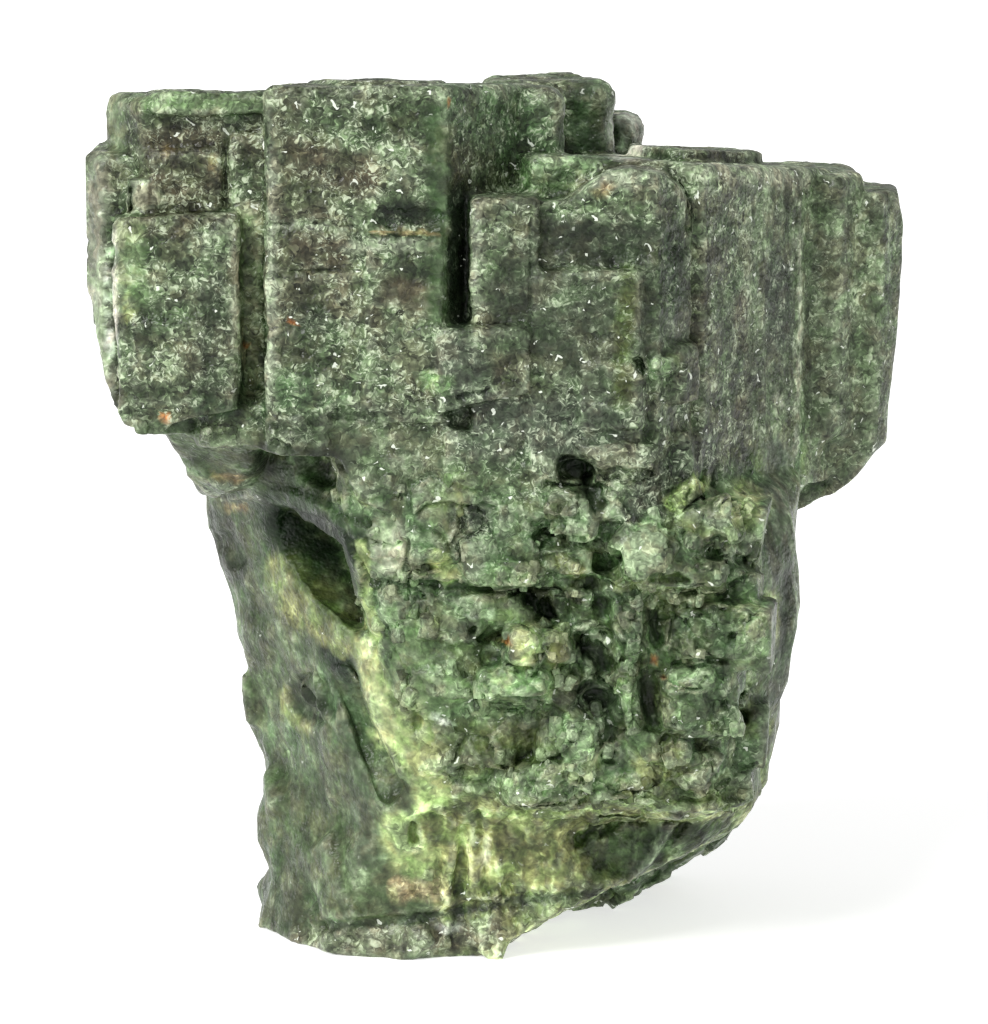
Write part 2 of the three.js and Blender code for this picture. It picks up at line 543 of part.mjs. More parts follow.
// Where the root's front is at this x and height.
function onFront(x, z) {
  let angle = FRONT;
  for (let closer = 0; closer < CLOSER_STEPS; closer++) {
    const aside = (x - ROOT_AXIS.x) / rootReach(angle, z);
    angle = -Math.acos(THREE.MathUtils.clamp(aside, -MOST_ASIDE, MOST_ASIDE));
  }
  return onRoot(angle, z);
}

// A rough four-sided block, built up from rings that lie one behind the other: y is how deep the ring
// lies in the rock, w and h are its width and height.
function chunk(rings, draw) {
  const off = () => 1 + CHUNK_JITTER * (draw() - 0.5);
  const corners = [[-0.5, -0.5], [0.5, -0.5], [0.5, 0.5], [-0.5, 0.5]];
  return convex(
    rings.flatMap(({ y, w, h }) => corners.map(([x, z]) => [x * w * off(), y, z * h * off()])),
  );
}

// A block set on the root, leaning as drawn, with its outer side facing out.
function setOnRoot(geometry, place, facing, turn, draw) {
  const lean = () => CHUNK_JITTER * (draw() - 0.5);
  geometry.rotateX(lean()).rotateZ(lean()).rotateY(THREE.MathUtils.degToRad(turn));
  return solid(geometry.rotateZ(facing + Math.PI / 2).translate(...place));
}

// A chunk that stands proud of the rock, with worn outer corners.
function standingChunk({ w, h, out }, draw) {
  const worn = { w: w * CHUNK_WEAR, h: h * CHUNK_WEAR };
  return chunk([{ y: CHUNK_SUNK, w, h }, { y: -out / 2, w, h }, { y: -out, ...worn }], draw);
}

function frontBlock(block, draw) {
  return setOnRoot(standingChunk(block, draw), onFront(block.x, block.z), FRONT, block.turn, draw);
}

// A pit narrows towards its floor.
function frontPit({ x, z, w, h, deep }, draw) {
  const mouth = { y: -OUTSIDE, w: w * PIT_MOUTH, h: h * PIT_MOUTH };
  const wall = { y: deep * PIT_WALL, w, h };
  const floor = { y: deep, w: w * PIT_FLOOR, h: h * PIT_FLOOR };
  return setOnRoot(chunk([mouth, wall, floor], draw), onFront(x, z), FRONT, 0, draw);
}

// Chunks over a part of the root, each turned its own way.
function scattered({ count, angle, z, size, out }, draw) {
  const between = ([low, high]) => low + (high - low) * draw();
  return Array.from({ length: count }, () => {
    const facing = THREE.MathUtils.degToRad(between(angle));
    const place = onRoot(facing, between(z));
    const made = standingChunk({ w: between(size), h: between(size), out: between(out) }, draw);
    return setOnRoot(made, place, facing, 90 * (draw() - 0.5), draw);
  });
}

// A rib up the root: a long wedge that follows the root's surface from its lower to its upper end.
function rib({ angle, z: [low, high], wide, out }) {
  const facing = THREE.MathUtils.degToRad(angle);
  const levels = [[low, 0.8], [low + RIB_TAPER, 1], [high - RIB_TAPER, 1], [high, 0.7]];
  const section = (share) => [
    [-wide / 2, OUTSIDE], [wide / 2, OUTSIDE], [wide / 2, 0], [wide / 4, -out * share],
    [-wide / 3, -out * share], [-wide / 2, 0],
  ];
  return hull(
    levels.flatMap(([z, share]) => {
      const [x, y] = onRoot(facing, z);
      return section(share).map(([across, into]) => [
        x - across * Math.sin(facing) - into * Math.cos(facing),
        y + across * Math.cos(facing) - into * Math.sin(facing),
        z,
      ]);
    }),
  );
}

// A hollow: its outline carried in from the front to a smaller floor.
function hollow({ outline, floor, shrink }) {
  const mean = (axis) => outline.reduce((sum, point) => sum + point[axis], 0) / outline.length;
  const drawnIn = (value, axis) => THREE.MathUtils.lerp(mean(axis), value, shrink);
  return hull([
    ...outline.map(([x, z]) => [x, -DEPTH, z]),
    ...outline.map(([x, z]) => [drawnIn(x, 0), floor, drawnIn(z, 1)]),
  ]);
}

// The flutes, as upright wedges to cut away. They run higher at the left than at the right.
function flutes() {
  const { first, last, count, width, deep, foot, head } = FLUTES;
  return Array.from({ length: count }, (_, i) => {
    const share = i / (count - 1);
    const x = THREE.MathUtils.lerp(first, last, share);
    const top = THREE.MathUtils.lerp(head[0], head[1], share);
    const mouth = (width / 2) * (1 + OUTSIDE / deep);
    const section = [[x - mouth, -OUTSIDE], [x + mouth, -OUTSIDE], [x, deep]];
    return hull([foot, top].flatMap((z) => section.map(([sx, sy]) => [sx, onFront(x, z)[1] + sy, z])));
  });
}

// The whole crystal, with its foot cut flat.
function crystal() {
  const draw = drawer(CHUNK_SEED);
  const grown = joined([
    root(),
    ...Object.values(CROWN).map(prism),
    ...Object.values(GROWTH_STEPS).map(prism),
    ...Object.values(SHOULDERS).map(hull),
    ...RIBS.map(rib),
    ...CHUNKS.flatMap((patch) => scattered(patch, draw)),
  ]);
  const etchedAway = joined([...Object.values(HOLLOWS).map(hollow), ...flutes(), hull(BACK_HOLLOW)]);
  const standingOut = joined(FRONT_BLOCKS.map((block) => frontBlock(block, draw)));
  const brokenOff = joined([
    ...FRONT_PITS.map((pit) => frontPit(pit, draw)),
    ...Object.values(CHIPS).map(hull),
    solid(new THREE.BoxGeometry(2 * WIDTH, 2 * DEPTH, HEIGHT).translate(0, 0, -HEIGHT / 2)),
  ]);
  return grown.subtract(etchedAway).add(standingOut).subtract(brokenOff);
}

// The largest piece of a cut solid, as a geometry centred over its foot.
function centred(made) {
  const whole = made
    .simplify(FINEST)
    .decompose()
    .sort((a, b) => b.volume() - a.volume())[0];
  const { vertProperties, triVerts } = whole.getMesh();
  const geometry = new THREE.BufferGeometry();
  geometry.setAttribute("position", new THREE.Float32BufferAttribute(vertProperties, 3));
  geometry.setIndex([...triVerts]);
  geometry.computeBoundingBox();
  const { min, max } = geometry.boundingBox;
  geometry.translate(-(min.x + max.x) / 2, -(min.y + max.y) / 2, -min.z);
  geometry.computeVertexNormals();
  return geometry;
}

const tourmaline = new THREE.MeshStandardMaterial({
  name: "tourmaline",
  color: new THREE.Color(0.1, 0.16, 0.085),
  roughness: 0.45,
  metalness: 0,
});

const specimen = new THREE.Group();
const mesh = new THREE.Mesh(centred(crystal()), tourmaline);
mesh.name = "tourmaline_crystal";
specimen.add(mesh);

export default specimen;
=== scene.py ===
"""The chrome tourmaline crystal's looks: its etched skin, its finish, and the light it is seen in."""

import math

import bmesh
import bpy
import numpy as np
from mathutils import Matrix, Vector, bvhtree, noise


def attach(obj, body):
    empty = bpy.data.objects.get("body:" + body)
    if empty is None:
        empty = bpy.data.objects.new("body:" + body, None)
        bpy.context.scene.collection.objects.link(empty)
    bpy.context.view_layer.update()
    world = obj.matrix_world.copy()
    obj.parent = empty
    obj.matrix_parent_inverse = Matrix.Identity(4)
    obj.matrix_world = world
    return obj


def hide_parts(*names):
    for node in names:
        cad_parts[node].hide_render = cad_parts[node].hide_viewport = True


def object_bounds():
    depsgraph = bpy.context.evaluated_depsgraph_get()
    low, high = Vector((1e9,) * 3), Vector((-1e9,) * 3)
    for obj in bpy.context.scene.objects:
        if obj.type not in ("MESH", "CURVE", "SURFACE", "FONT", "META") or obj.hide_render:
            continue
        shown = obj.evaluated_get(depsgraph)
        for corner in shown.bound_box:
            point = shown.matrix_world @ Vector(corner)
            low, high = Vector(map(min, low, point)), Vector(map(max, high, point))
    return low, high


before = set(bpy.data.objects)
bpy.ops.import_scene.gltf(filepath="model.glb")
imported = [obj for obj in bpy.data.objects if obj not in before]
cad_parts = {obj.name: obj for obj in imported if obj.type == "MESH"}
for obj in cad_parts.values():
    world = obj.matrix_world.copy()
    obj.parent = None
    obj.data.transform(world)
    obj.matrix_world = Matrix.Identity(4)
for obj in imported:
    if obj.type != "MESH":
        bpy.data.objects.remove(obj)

cad_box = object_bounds()

# The camera stands where the photograph was taken from: a little above the crystal's middle, and far
# enough back for a close-up lens.
MM = 0.001
PHOTO_WIDTH, PHOTO_HEIGHT = 988, 1024
AIM = Vector((-0.25, 0, 8.7))
CAMERA_DISTANCE = 105
CAMERA_ABOVE = math.radians(8)
HEIGHT_AT_AIM = 21.4
SENSOR = 36


def placed(name, data):
    """A new object in the scene, with this data."""
    made = bpy.data.objects.new(name, data)
    bpy.context.scene.collection.objects.link(made)
    return made


camera = placed("camera", bpy.data.cameras.new("camera"))
backwards = Vector((0, -math.cos(CAMERA_ABOVE), math.sin(CAMERA_ABOVE)))
camera.location = (AIM + backwards * CAMERA_DISTANCE) * MM
camera.rotation_euler = (-backwards).to_track_quat("-Z", "Y").to_euler()
camera.data.sensor_width = SENSOR
camera.data.lens = SENSOR * CAMERA_DISTANCE / HEIGHT_AT_AIM
camera.data.clip_start = CAMERA_DISTANCE * MM / 10
bpy.context.scene.camera = camera

# The crystal's skin: one piece of tourmaline, grown as stubby prisms and then etched. It starts as the
# solid's own surface in small even faces, and the etching is worked into that, in millimetres.
FACE_SIZE = 0.062
MOST_TRIANGLES = 196000
PIXELS_PER_MM = PHOTO_HEIGHT / HEIGHT_AT_AIM
# Blender picks the directions of drift() by the clock unless they have a seed
noise.seed_set(7)


def reshape(piece, kind, **settings):
    """Runs one of Blender's modifiers on a piece and keeps the result as its mesh."""
    modifier = piece.modifiers.new(kind, kind)
    for name, value in settings.items():
        setattr(modifier, name, value)
    evaluated = piece.evaluated_get(bpy.context.evaluated_depsgraph_get())
    made = bpy.data.meshes.new_from_object(evaluated)
    piece.modifiers.clear()
    piece.data = made


def read(collection, field, width, kind=np.float32):
    """One field of a mesh's vertices, edges or normals, as rows of numbers."""
    values = np.empty(len(collection) * width, kind)
    collection.foreach_get(field, values)
    return values.reshape(-1, width)


def relaxed(points, edges, rounds, share=0.5):
    """Points drawn towards the mean of their neighbours, by a share that may differ between points."""
    first, second = edges.T
    neighbours = np.bincount(edges.ravel(), minlength=len(points))[:, None]
    for _ in range(rounds):
        total = np.empty_like(points)
        for axis in range(points.shape[1]):
            total[:, axis] = np.bincount(first, points[second, axis], len(points))
            total[:, axis] += np.bincount(second, points[first, axis], len(points))
        points = points + share * (total / neighbours - points)
    return points


def outwards(mesh, edges):
    """The way the skin faces at each vertex, evened out a little."""
    ROUNDS = 4
    facing = relaxed(read(mesh.vertex_normals, "vector", 3).astype(float), edges, ROUNDS)
    return facing / np.linalg.norm(facing, axis=1)[:, None]


def step(low, high, value):
    """0 at low, 1 at high, a smooth change between them, and level beyond."""
    share = np.clip((value - low) / (high - low), 0, 1)
    return share * share * (3 - 2 * share)


def waves(points, size, octaves=3, shift=0.0):
    """Soft noise from about -1 to 1, with features of this size."""
    spots = (points / size + shift).tolist()
    return np.array([noise.fractal(spot, 1, 2, octaves) for spot in spots])


def drift(points, size, shift=0.0):
    """A soft random direction at each point."""
    spots = (points / size + shift).tolist()
    return np.array([noise.noise_vector(spot) for spot in spots])


def broken(points, size, shift=0.0):
    """Crystal corners: space in cells, each with its own height and slant. Gives each point's height
    from about -1 to 1, how near its cell's border it is from 0 to 1, and a random number of its cell."""
    HEIGHT_SEED, SLANT_SEED = 57.3, 31.7
    rows = []
    for spot in (points / size + shift).tolist():
        (near, far, *_), (centre, *_) = noise.voronoi(spot)
        own = noise.cell_vector(centre * HEIGHT_SEED)
        slant = noise.cell_vector(centre * SLANT_SEED) - Vector((0.5, 0.5, 0.5))
        rise = slant.dot(Vector(spot) - centre)
        rows.append((2 * own.x - 1 + 2 * rise, 1 - (far - near), own.y))
    made = np.array(rows)
    return made[:, 0], np.clip(made[:, 1], 0, 1), made[:, 2]


def photographed(points):
    """Where the camera sees each point, in the photograph's frame, and how far off it is."""
    right = np.array((1, 0, 0))
    up = np.array((0, math.sin(CAMERA_ABOVE), math.cos(CAMERA_ABOVE)))
    ahead = -np.array(backwards)
    offset = points - np.array(AIM + backwards * CAMERA_DISTANCE)
    away = offset @ ahead
    pixels = PIXELS_PER_MM * CAMERA_DISTANCE / away
    across = PHOTO_WIDTH / 2 + (offset @ right) * pixels
    down = PHOTO_HEIGHT / 2 - (offset @ up) * pixels
    return np.stack([across, down], axis=1), away


def in_view(places, away, facing):
    """Which points face the camera with nothing much nearer in front of them."""
    CELL, BEHIND, EDGE_ON = 6, 0.7, (-0.1, 0.25)
    column, row = (places // CELL).astype(int).T
    key = row * PHOTO_WIDTH + column
    nearest = np.full(key.max() + 1, np.inf)
    np.minimum.at(nearest, key, away)
    return (away < nearest[key] + BEHIND) * step(*EDGE_ON, facing @ np.array(backwards))


def from_line(places, line):
    """How far each place is from a line through these points of the photograph, in millimetres."""
    line = np.array(line, float)
    if len(line) == 1:
        return np.linalg.norm(places - line[0], axis=1) / PIXELS_PER_MM
    least = np.full(len(places), np.inf)
    for start, end in zip(line, line[1:]):
        run = end - start
        share = np.clip(((places - start) @ run) / (run @ run), 0, 1)[:, None]
        least = np.minimum(least, np.linalg.norm(places - start - share * run, axis=1))
    return least / PIXELS_PER_MM


def strip(places, line, wide, edge, stray=0.0):
    """1 along a line through the photograph and 0 away from it. The edge says where it ends and where it
    is whole, in shares of its width, and stray moves that edge about."""
    outer, inner = edge
    return step(outer * wide, inner * wide, from_line(places, line) + stray)


def from_block(places, at, across, down, turn):
    """How far each place is from a block's middle: 1 on its edge. The block is turned by this many
    degrees, clockwise as the camera sees it. Its corners are a little rounded."""
    SQUARE = 4
    offset = (places - np.array(at, float)) / PIXELS_PER_MM
    turned = math.radians(turn)
    along = offset @ np.array((math.cos(turned), math.sin(turned)))
    beside = offset @ np.array((-math.sin(turned), math.cos(turned)))
    far = np.abs(along * 2 / across) ** SQUARE + np.abs(beside * 2 / down) ** SQUARE
    return far ** (1 / SQUARE)


# Blocks that stand out of the crust: the middle in the photograph's frame, the size across and down, the
# turn in degrees, and how far out it stands, or in where it is negative
BLOCKS = {
    "tile": ((562, 503), 0.66, 0.5, 0, 0.14),
    "slot's block": ((553, 543), 0.95, 0.42, -4, 0.12),
    "pale block": ((383, 544), 0.62, 0.62, 0, 0.12),
    "left brow": ((425, 560), 0.75, 0.55, 5, 0.08),
    "brow": ((520, 573), 1.05, 0.54, 3, 0.16),
    "tan cluster": ((570, 568), 0.5, 0.42, 10, 0.12),
    "pale lump": ((640, 546), 1.15, 0.68, -38, 0.32),
    "pale lump's foot": ((627, 573), 0.66, 0.42, -20, 0.2),
    "yellow crystals": ((687, 493), 0.78, 0.4, -38, 0.2),
    "yellow block": ((743, 505), 0.42, 0.62, 0, 0.1),
    "grey block": ((692, 541), 0.4, 0.32, 14, 0.16),
    "small chip": ((704, 566), 0.3, 0.24, -20, 0.12),
    "pale chip": ((680, 600), 0.3, 0.2, 8, 0.14),
    "second pale chip": ((696, 598), 0.3, 0.28, -6, 0.16),
    "column": ((628, 618), 0.64, 0.9, 0, 0.3),
    "column's foot": ((632, 650), 0.3, 0.44, 6, 0.14),
    "green block": ((716, 631), 2.1, 1.2, -5, 0.14),
    "second green block": ((690, 680), 1.05, 0.6, -3, 0.16),
    "jade chip": ((677, 712), 0.6, 0.46, 0, 0.12),
    "low lump": ((677, 752), 0.6, 0.55, 10, 0.2),
    "yellow lump": ((526, 646), 0.72, 0.85, 5, 0.34),
    "olive lump": ((558, 645), 0.62, 0.76, -6, 0.24),
    "slab": ((514, 681), 1.5, 0.6, 2, 0.34),
    "slab's right end": ((567, 674), 0.55, 0.5, -5, 0.2),
    "green lump": ((545, 783), 1.9, 0.82, -6, 0.24),
    "green lump's top": ((578, 742), 0.64, 0.92, 12, 0.2),
    "pale rib": ((631, 706), 0.42, 1.1, -14, 0.2),
    "ledge's lump": ((627, 779), 0.6, 0.34, 0, 0.12),
    "moss lump": ((438, 384), 0.32, 0.3, 10, 0.1),
    "nib": ((664, 366), 0.5, 0.36, -12, 0.14),
    "left block": ((297, 433), 1.3, 0.84, 0, 0.1),
    "left chip": ((208, 434), 0.34, 0.28, 15, 0.14),
    "round recess": ((477, 523), 0.82, 0.76, 0, -0.22),
    "dark pocket": ((573, 468), 0.62, 0.52, 8, -0.22),
}

# Marks in the skin that the photograph shows: the width, how deep the mark is cut or, where it is
# negative, how far it stands out, and the points of its line in the photograph's frame
MARKS = {
    "column's ledge": (0.1, 0.09, (268, 224), (325, 222), (352, 226)),
    "column's lower ledge": (0.1, 0.07, (290, 271), (338, 270)),
    "plate's dent": (0.5, 0.1, (384, 219), (432, 219)),
    "column's notch": (0.34, 0.14, (342, 414), (372, 416)),
    "left top's slit": (0.1, 0.08, (226, 140), (226, 209)),
    "left wing's slit": (0.12, 0.2, (131, 188), (131, 210)),
    "channel's hole": (0.24, 0.1, (245, 343), (257, 343)),
    "channel's foot": (0.24, 0.1, (252, 368), (252, 402)),
    "arch's dark band": (0.9, 0.06, (555, 242), (600, 246), (655, 240)),
    "arch's seam": (0.09, 0.05, (532, 265), (575, 266)),
    "arch's right edge": (0.12, 0.18, (680, 183), (687, 196), (689, 228)),
    "front's seam": (0.07, 0.05, (530, 200), (530, 330)),
    "nib's hole": (0.22, 0.3, (637, 362), (642, 372)),
    "front's low step": (0.12, 0.1, (459, 397), (489, 390)),
    "front's step": (0.08, 0.1, (440, 327), (500, 324)),
    "right wing's edge": (0.12, -0.07, (800, 200), (800, 300), (797, 440)),
    "brow's gap": (0.36, 0.14, (402, 590), (428, 590)),
    "brow's line": (0.13, 0.12, (390, 583), (463, 586), (500, 590), (544, 589)),
    "slot": (0.26, 0.16, (533, 524), (562, 526)),
    "tile's edge": (0.14, 0.2, (545, 484), (580, 486)),
    "root's edge": (0.2, 0.2, (592, 473), (650, 474)),
    "pale lump's gap": (0.4, 0.32, (588, 484), (600, 506)),
    "pale lump's low gap": (0.24, 0.2, (655, 578), (688, 582)),
    "deep hole": (0.42, 0.32, (528, 597), (540, 606), (549, 616)),
    "round pit": (0.24, 0.25, (473, 631)),
    "brown hole": (0.34, 0.2, (488, 640), (503, 643)),
    "slab's hole": (0.2, 0.12, (510, 667), (521, 669)),
    "curved hollow": (0.48, 0.32, (580, 642), (596, 655), (606, 668)),
    "dot": (0.18, 0.2, (623, 660)),
    "olive lump's hollow": (0.5, 0.26, (588, 692), (608, 700)),
    "slab's hollow": (0.42, 0.08, (543, 708), (562, 718)),
    "slab's shadow line": (0.2, 0.04, (490, 703), (540, 704)),
    "column's right gap": (0.3, 0.2, (651, 612), (655, 642)),
    "column's left gap": (0.28, 0.14, (602, 600), (604, 630)),
    "chips' pit": (0.42, 0.2, (717, 546)),
    "second pit": (0.3, 0.22, (736, 562)),
    "yellow crystals' hole": (0.3, 0.25, (700, 505), (716, 500)),
    "curved seam": (0.2, 0.14, (668, 590), (722, 591), (745, 576), (757, 545)),
    "green block's line": (0.13, 0.2, (673, 664), (700, 659), (726, 662)),
    "green block's spot": (0.26, 0.14, (732, 632)),
    "twin pit above": (0.26, 0.16, (725, 704)),
    "twin pit below": (0.4, 0.18, (720, 726)),
    "rib's right hollow": (0.42, 0.18, (646, 682), (652, 724)),
    "rib's left hollow": (0.5, 0.18, (607, 715), (609, 762)),
    "ledge's hollow": (0.16, 0.2, (614, 792), (650, 792)),
    "right groove": (0.26, 0.04, (784, 600), (780, 650)),
    "left dent": (0.5, 0.12, (226, 540), (236, 560)),
    "left round pit": (1, 0.16, (308, 692), (314, 704)),
    "hollow's band": (0.4, -0.1, (196, 470), (215, 488), (290, 497), (330, 512), (362, 533)),
    "ledge's shadow": (0.34, 0.22, (580, 842), (603, 822), (640, 816)),
    "ledge": (0.22, -0.16, (520, 804), (580, 806), (605, 793), (667, 806), (735, 806)),
    "oblique ridge": (0.26, -0.12, (632, 884), (676, 818)),
    "ridge's groove": (0.28, 0.14, (644, 884), (688, 820)),
    "foot's seam": (0.3, 0.1, (320, 926), (402, 921), (489, 905), (600, 893)),
    "foot's dent": (0.6, 0.1, (306, 902), (309, 930)),
    "flutes' dark slot": (0.16, 0.14, (478, 812), (479, 832)),
    "flutes' oval": (0.26, 0.25, (413, 828), (413, 842)),
    "ridge's dent": (0.2, 0.14, (416, 712), (418, 726)),
}

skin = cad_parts["tourmaline_crystal"].data.copy()
skin.transform(Matrix.Scale(1 / MM, 4))
crystal = placed("tourmaline", skin)
reshape(crystal, "REMESH", mode="VOXEL", voxel_size=FACE_SIZE)
points = read(crystal.data.vertices, "co", 3).astype(float)
edges = read(crystal.data.edges, "vertices", 2, np.int32)
facing = outwards(crystal.data, edges)

# Where the parts of the crystal fade in, in millimetres: from, to. In front the root's top is an arch,
# and its left side leans.
RAGGED_SIZE, RAGGED = 1.5, 0.4
ROOT_TOP, ROOT_ARCH, ROOT_MIDDLE = (10.2, 9.3), 0.14, 2
ROOT_RIGHT = (6.5, 6)
LEFT_SIDE, LEFT_LEAN, LEFT_MIDDLE = (-2.3, -3), 0.25, 6
LOW_FRONT_TOP, LOW_FRONT_BACK = (3.9, 3.1), (0, -2)
CRUST_BACK = (0.5, -1.5)
SMOOTH_SIDE = (4.75, 5.2)


def regions(points):
    """How far each point belongs to the root, its left side, its low front, its crumbled front, and the
    smooth right side of all the crystal."""
    x, y, z = points.T
    ragged = RAGGED * waves(points, RAGGED_SIZE)
    arch = ROOT_ARCH * np.abs(x - ROOT_MIDDLE) * (y < 0)
    root = step(*ROOT_TOP, z + ragged - arch) * step(*ROOT_RIGHT, x)
    left = root * step(*LEFT_SIDE, x + LEFT_LEAN * (z - LEFT_MIDDLE) + ragged)
    low = root * (1 - left) * step(*LOW_FRONT_TOP, z + ragged) * step(*LOW_FRONT_BACK, y)
    crust = root * (1 - left) * (1 - low) * step(*CRUST_BACK, y)
    smooth = step(*SMOOTH_SIDE, x + 0.3 * ragged)
    return root, left, low, crust * (1 - root * smooth), smooth


root, left, low, crust, smooth = regions(points)
crown = 1 - root
coarse = root * (1 - left) * (1 - smooth)

# Where the stone has dissolved to soft slopes: the width, how soft, and the points of the line
SOFT_SLOPES = {
    "hollow's low side": (1.5, 1, (262, 500), (268, 560), (310, 605), (350, 640)),
    "second hollow's low side": (1.3, 1, (322, 655), (340, 730), (376, 800), (398, 812)),
    "left round pit": (1.1, 0.5, (308, 692), (314, 704)),
    "recess": (0.9, 0.4, (235, 465), (290, 480), (338, 485)),
    "low front": (2, 1, (556, 850), (640, 840), (740, 850)),
    "right wing": (1.7, 0.4, (848, 235), (850, 440)),
    "crust's holes": (1, 0.35, (545, 605), (600, 650), (600, 700), (612, 755)),
    "crust's pocket": (0.9, 0.35, (565, 475), (598, 475)),
    "column's hole": (0.6, 0.35, (655, 600), (655, 645)),
}

# The floors of the hollows: the width, the line that a floor lies along, and how far back it is at places
# across the photograph's frame
FLOORS = {
    "hollow": (
        3.2,
        [(285, 520), (318, 560), (352, 612)],
        [(205, 3), (240, -0.3), (262, -1.3), (272, -1.8), (283, -2.2)]
        + [(310, -3.1), (330, -3.7), (352, -4.3)],
    ),
    "second hollow": (
        2,
        [(332, 660), (358, 725), (402, 806)],
        [(280, -0.5), (300, -1.8), (320, -3), (340, -3.5), (360, -3.9), (380, -4.3), (400, -4.65)],
    ),
    "recess": (
        1,
        [(268, 460), (335, 470)],
        [(255, -2.9), (268, -3.1), (290, -3.5), (320, -3.7), (338, -4.4)],
    ),
    "crust's holes": (2, [(545, 605), (600, 650), (600, 700), (612, 755)], [(600, -5.2)]),
    "column's hole": (0.9, [(655, 600), (655, 645)], [(655, -5.3)]),
    "crust's pocket": (1.1, [(560, 480), (600, 480)], [(580, -5.55)]),
    "slab's gap": (0.9, [(455, 712), (545, 712)], [(500, -5.12)]),
    "brow's upper gap": (0.9, [(405, 570), (450, 570)], [(428, -5.5)]),
    "small hole": (1.1, [(668, 744)], [(668, -5.25)]),
    "channel's low end": (0.9, [(252, 350), (252, 395)], [(252, -4.85)]),
    "low front": (1.3, [(580, 845), (622, 840)], [(560, -3.85), (620, -3.3), (660, -3.12)]),
}

# Where a floor drops beside its low edge: over what width, how deep, and the points of the edge
DROPS = {
    "hollow": (2, 2.6, (262, 500), (272, 540), (283, 560), (310, 600), (330, 622), (352, 642)),
    "second hollow": (0.8, 0.5, (318, 650), (330, 740), (372, 800), (395, 815)),
}

# The floors are raised. Then edges are worn here and there, the crumbled parts rounded off, and the
# slopes and the hollows' walls made soft.
FLOOR_EDGE = (0.52, 0.46)
HOLLOWS_END = 1
WALL, WALL_SOFTNESS = 0.15, 0.4
SLOPE_EDGE, SLOPES_FACE = (0.6, 0.3), 0.3
WEAR_SIZE, WEAR, UNEVEN_WEAR, MOST_WEAR = 1.1, 0.1, 0.4, 0.6
WEAR_ROUNDS, CRUMBLE_ROUNDS, SLOPE_ROUNDS, BROAD_ROUNDS = 2, 6, 120, 25
CRUMBLE_SHARE, SLOPE_SHARE = 0.7, 0.65

places, away = photographed(points)
slopes = np.zeros(len(points))
for name, (wide, line, levels) in FLOORS.items():
    inside = strip(places, line, wide, FLOOR_EDGE)
    back = np.interp(places[:, 0], *zip(*levels))
    if name in DROPS:
        run, most, *edge = DROPS[name]
        back += most * step(0, run, from_line(places, edge))
    lift = inside * (points[:, 1] < HOLLOWS_END) * (points[:, 1] - back).clip(0)
    points[:, 1] -= lift
    slopes = np.maximum(slopes, WALL_SOFTNESS * step(0, WALL, lift))
for wide, softness, *line in SOFT_SLOPES.values():
    inside = strip(places, line, wide, SLOPE_EDGE) * (facing[:, 1] < SLOPES_FACE)
    slopes = np.maximum(slopes, softness * inside)
wear = np.clip(WEAR + UNEVEN_WEAR * waves(points, WEAR_SIZE, shift=5), 0, MOST_WEAR)[:, None]
points = relaxed(points, edges, WEAR_ROUNDS, wear)
points = relaxed(points, edges, CRUMBLE_ROUNDS, CRUMBLE_SHARE * (crust + left + low)[:, None].clip(0, 1))
points = relaxed(points, edges, SLOPE_ROUNDS, SLOPE_SHARE * slopes[:, None])
broad = relaxed(facing, edges, BROAD_ROUNDS)
broad /= np.linalg.norm(broad, axis=1)[:, None]

# The etching: growth terraces on the crown, broken blocks and grains on the crumbled front, soft swells
# on the root's left side, and flutes low down. Each kind has its size, and how deep or high it is.
BEND_SIZE, BEND_DEPTH = 1.1, 0.04
CRUMB_SIZE, CRUMB_DEPTH, LEAST_CRUMBS = 0.3, 0.03, 0.006
TERRACE_SIZE, TERRACE_STRETCH, TERRACE_DEPTH = 0.8, (0.5, 0.5, 1.5), 0.024
TERRACES, TERRACE_RISER = 2.2, (0.42, 0.58)
PIT_SIZE, PIT_DEPTH = 0.22, 0.016
BROKEN_SIZE, BROKEN_RISE, CRACK_DEPTH = 1.0, 0.08, 0.09
CRACK_BENDS, CRACK_BEND = 0.5, 0.12
CRACK_EDGE, CRACKED = (0.8, 1), (0.4, 0.7)
GRAIN_SIZE, GRAIN_RISE, GRAIN_GAP, GAP_EDGE = 0.34, 0.022, 0.016, (0.7, 1)
GRAIN_PATCHES, PATCHY = 1.6, (-0.1, 0.35)
SWELL_SIZE, SWELL_DEPTH = 1.1, 0.055
RIPPLE_SIZE, RIPPLE_DEPTH = 0.3, 0.015
FLUTE_SIZE, FLUTE_STRETCH, FLUTE_DEPTH = 0.4, (1, 1, 0.15), 0.08
RIGHT_FLUTES, LEFT_FLUTES = 0.03, 0.02

crumbs = (LEAST_CRUMBS + CRUMB_DEPTH * coarse)[:, None]
points += BEND_DEPTH * drift(points, BEND_SIZE) + crumbs * drift(points, CRUMB_SIZE, shift=7)
terraces = TERRACES * waves(points * TERRACE_STRETCH, TERRACE_SIZE, shift=3)
terraces = np.floor(terraces) + step(*TERRACE_RISER, terraces - np.floor(terraces))
terraces = TERRACE_DEPTH * terraces + PIT_DEPTH * waves(points, PIT_SIZE, shift=9)
height = crown * (1 - 0.7 * smooth) * terraces
blocks, border, own = broken(points + CRACK_BEND * drift(points, CRACK_BENDS, shift=11), BROKEN_SIZE)
cracks = CRACK_DEPTH * step(*CRACK_EDGE, border) * step(*CRACKED, own)
height += coarse * (1 - 0.8 * low) * (BROKEN_RISE * blocks - cracks)
grains, border, _ = broken(points, GRAIN_SIZE, shift=20)
patchy = step(*PATCHY, waves(points, GRAIN_PATCHES, shift=130))
gaps = GRAIN_GAP * step(*GAP_EDGE, border)
height += coarse * (1 - 0.5 * low) * patchy * (GRAIN_RISE * grains - gaps)
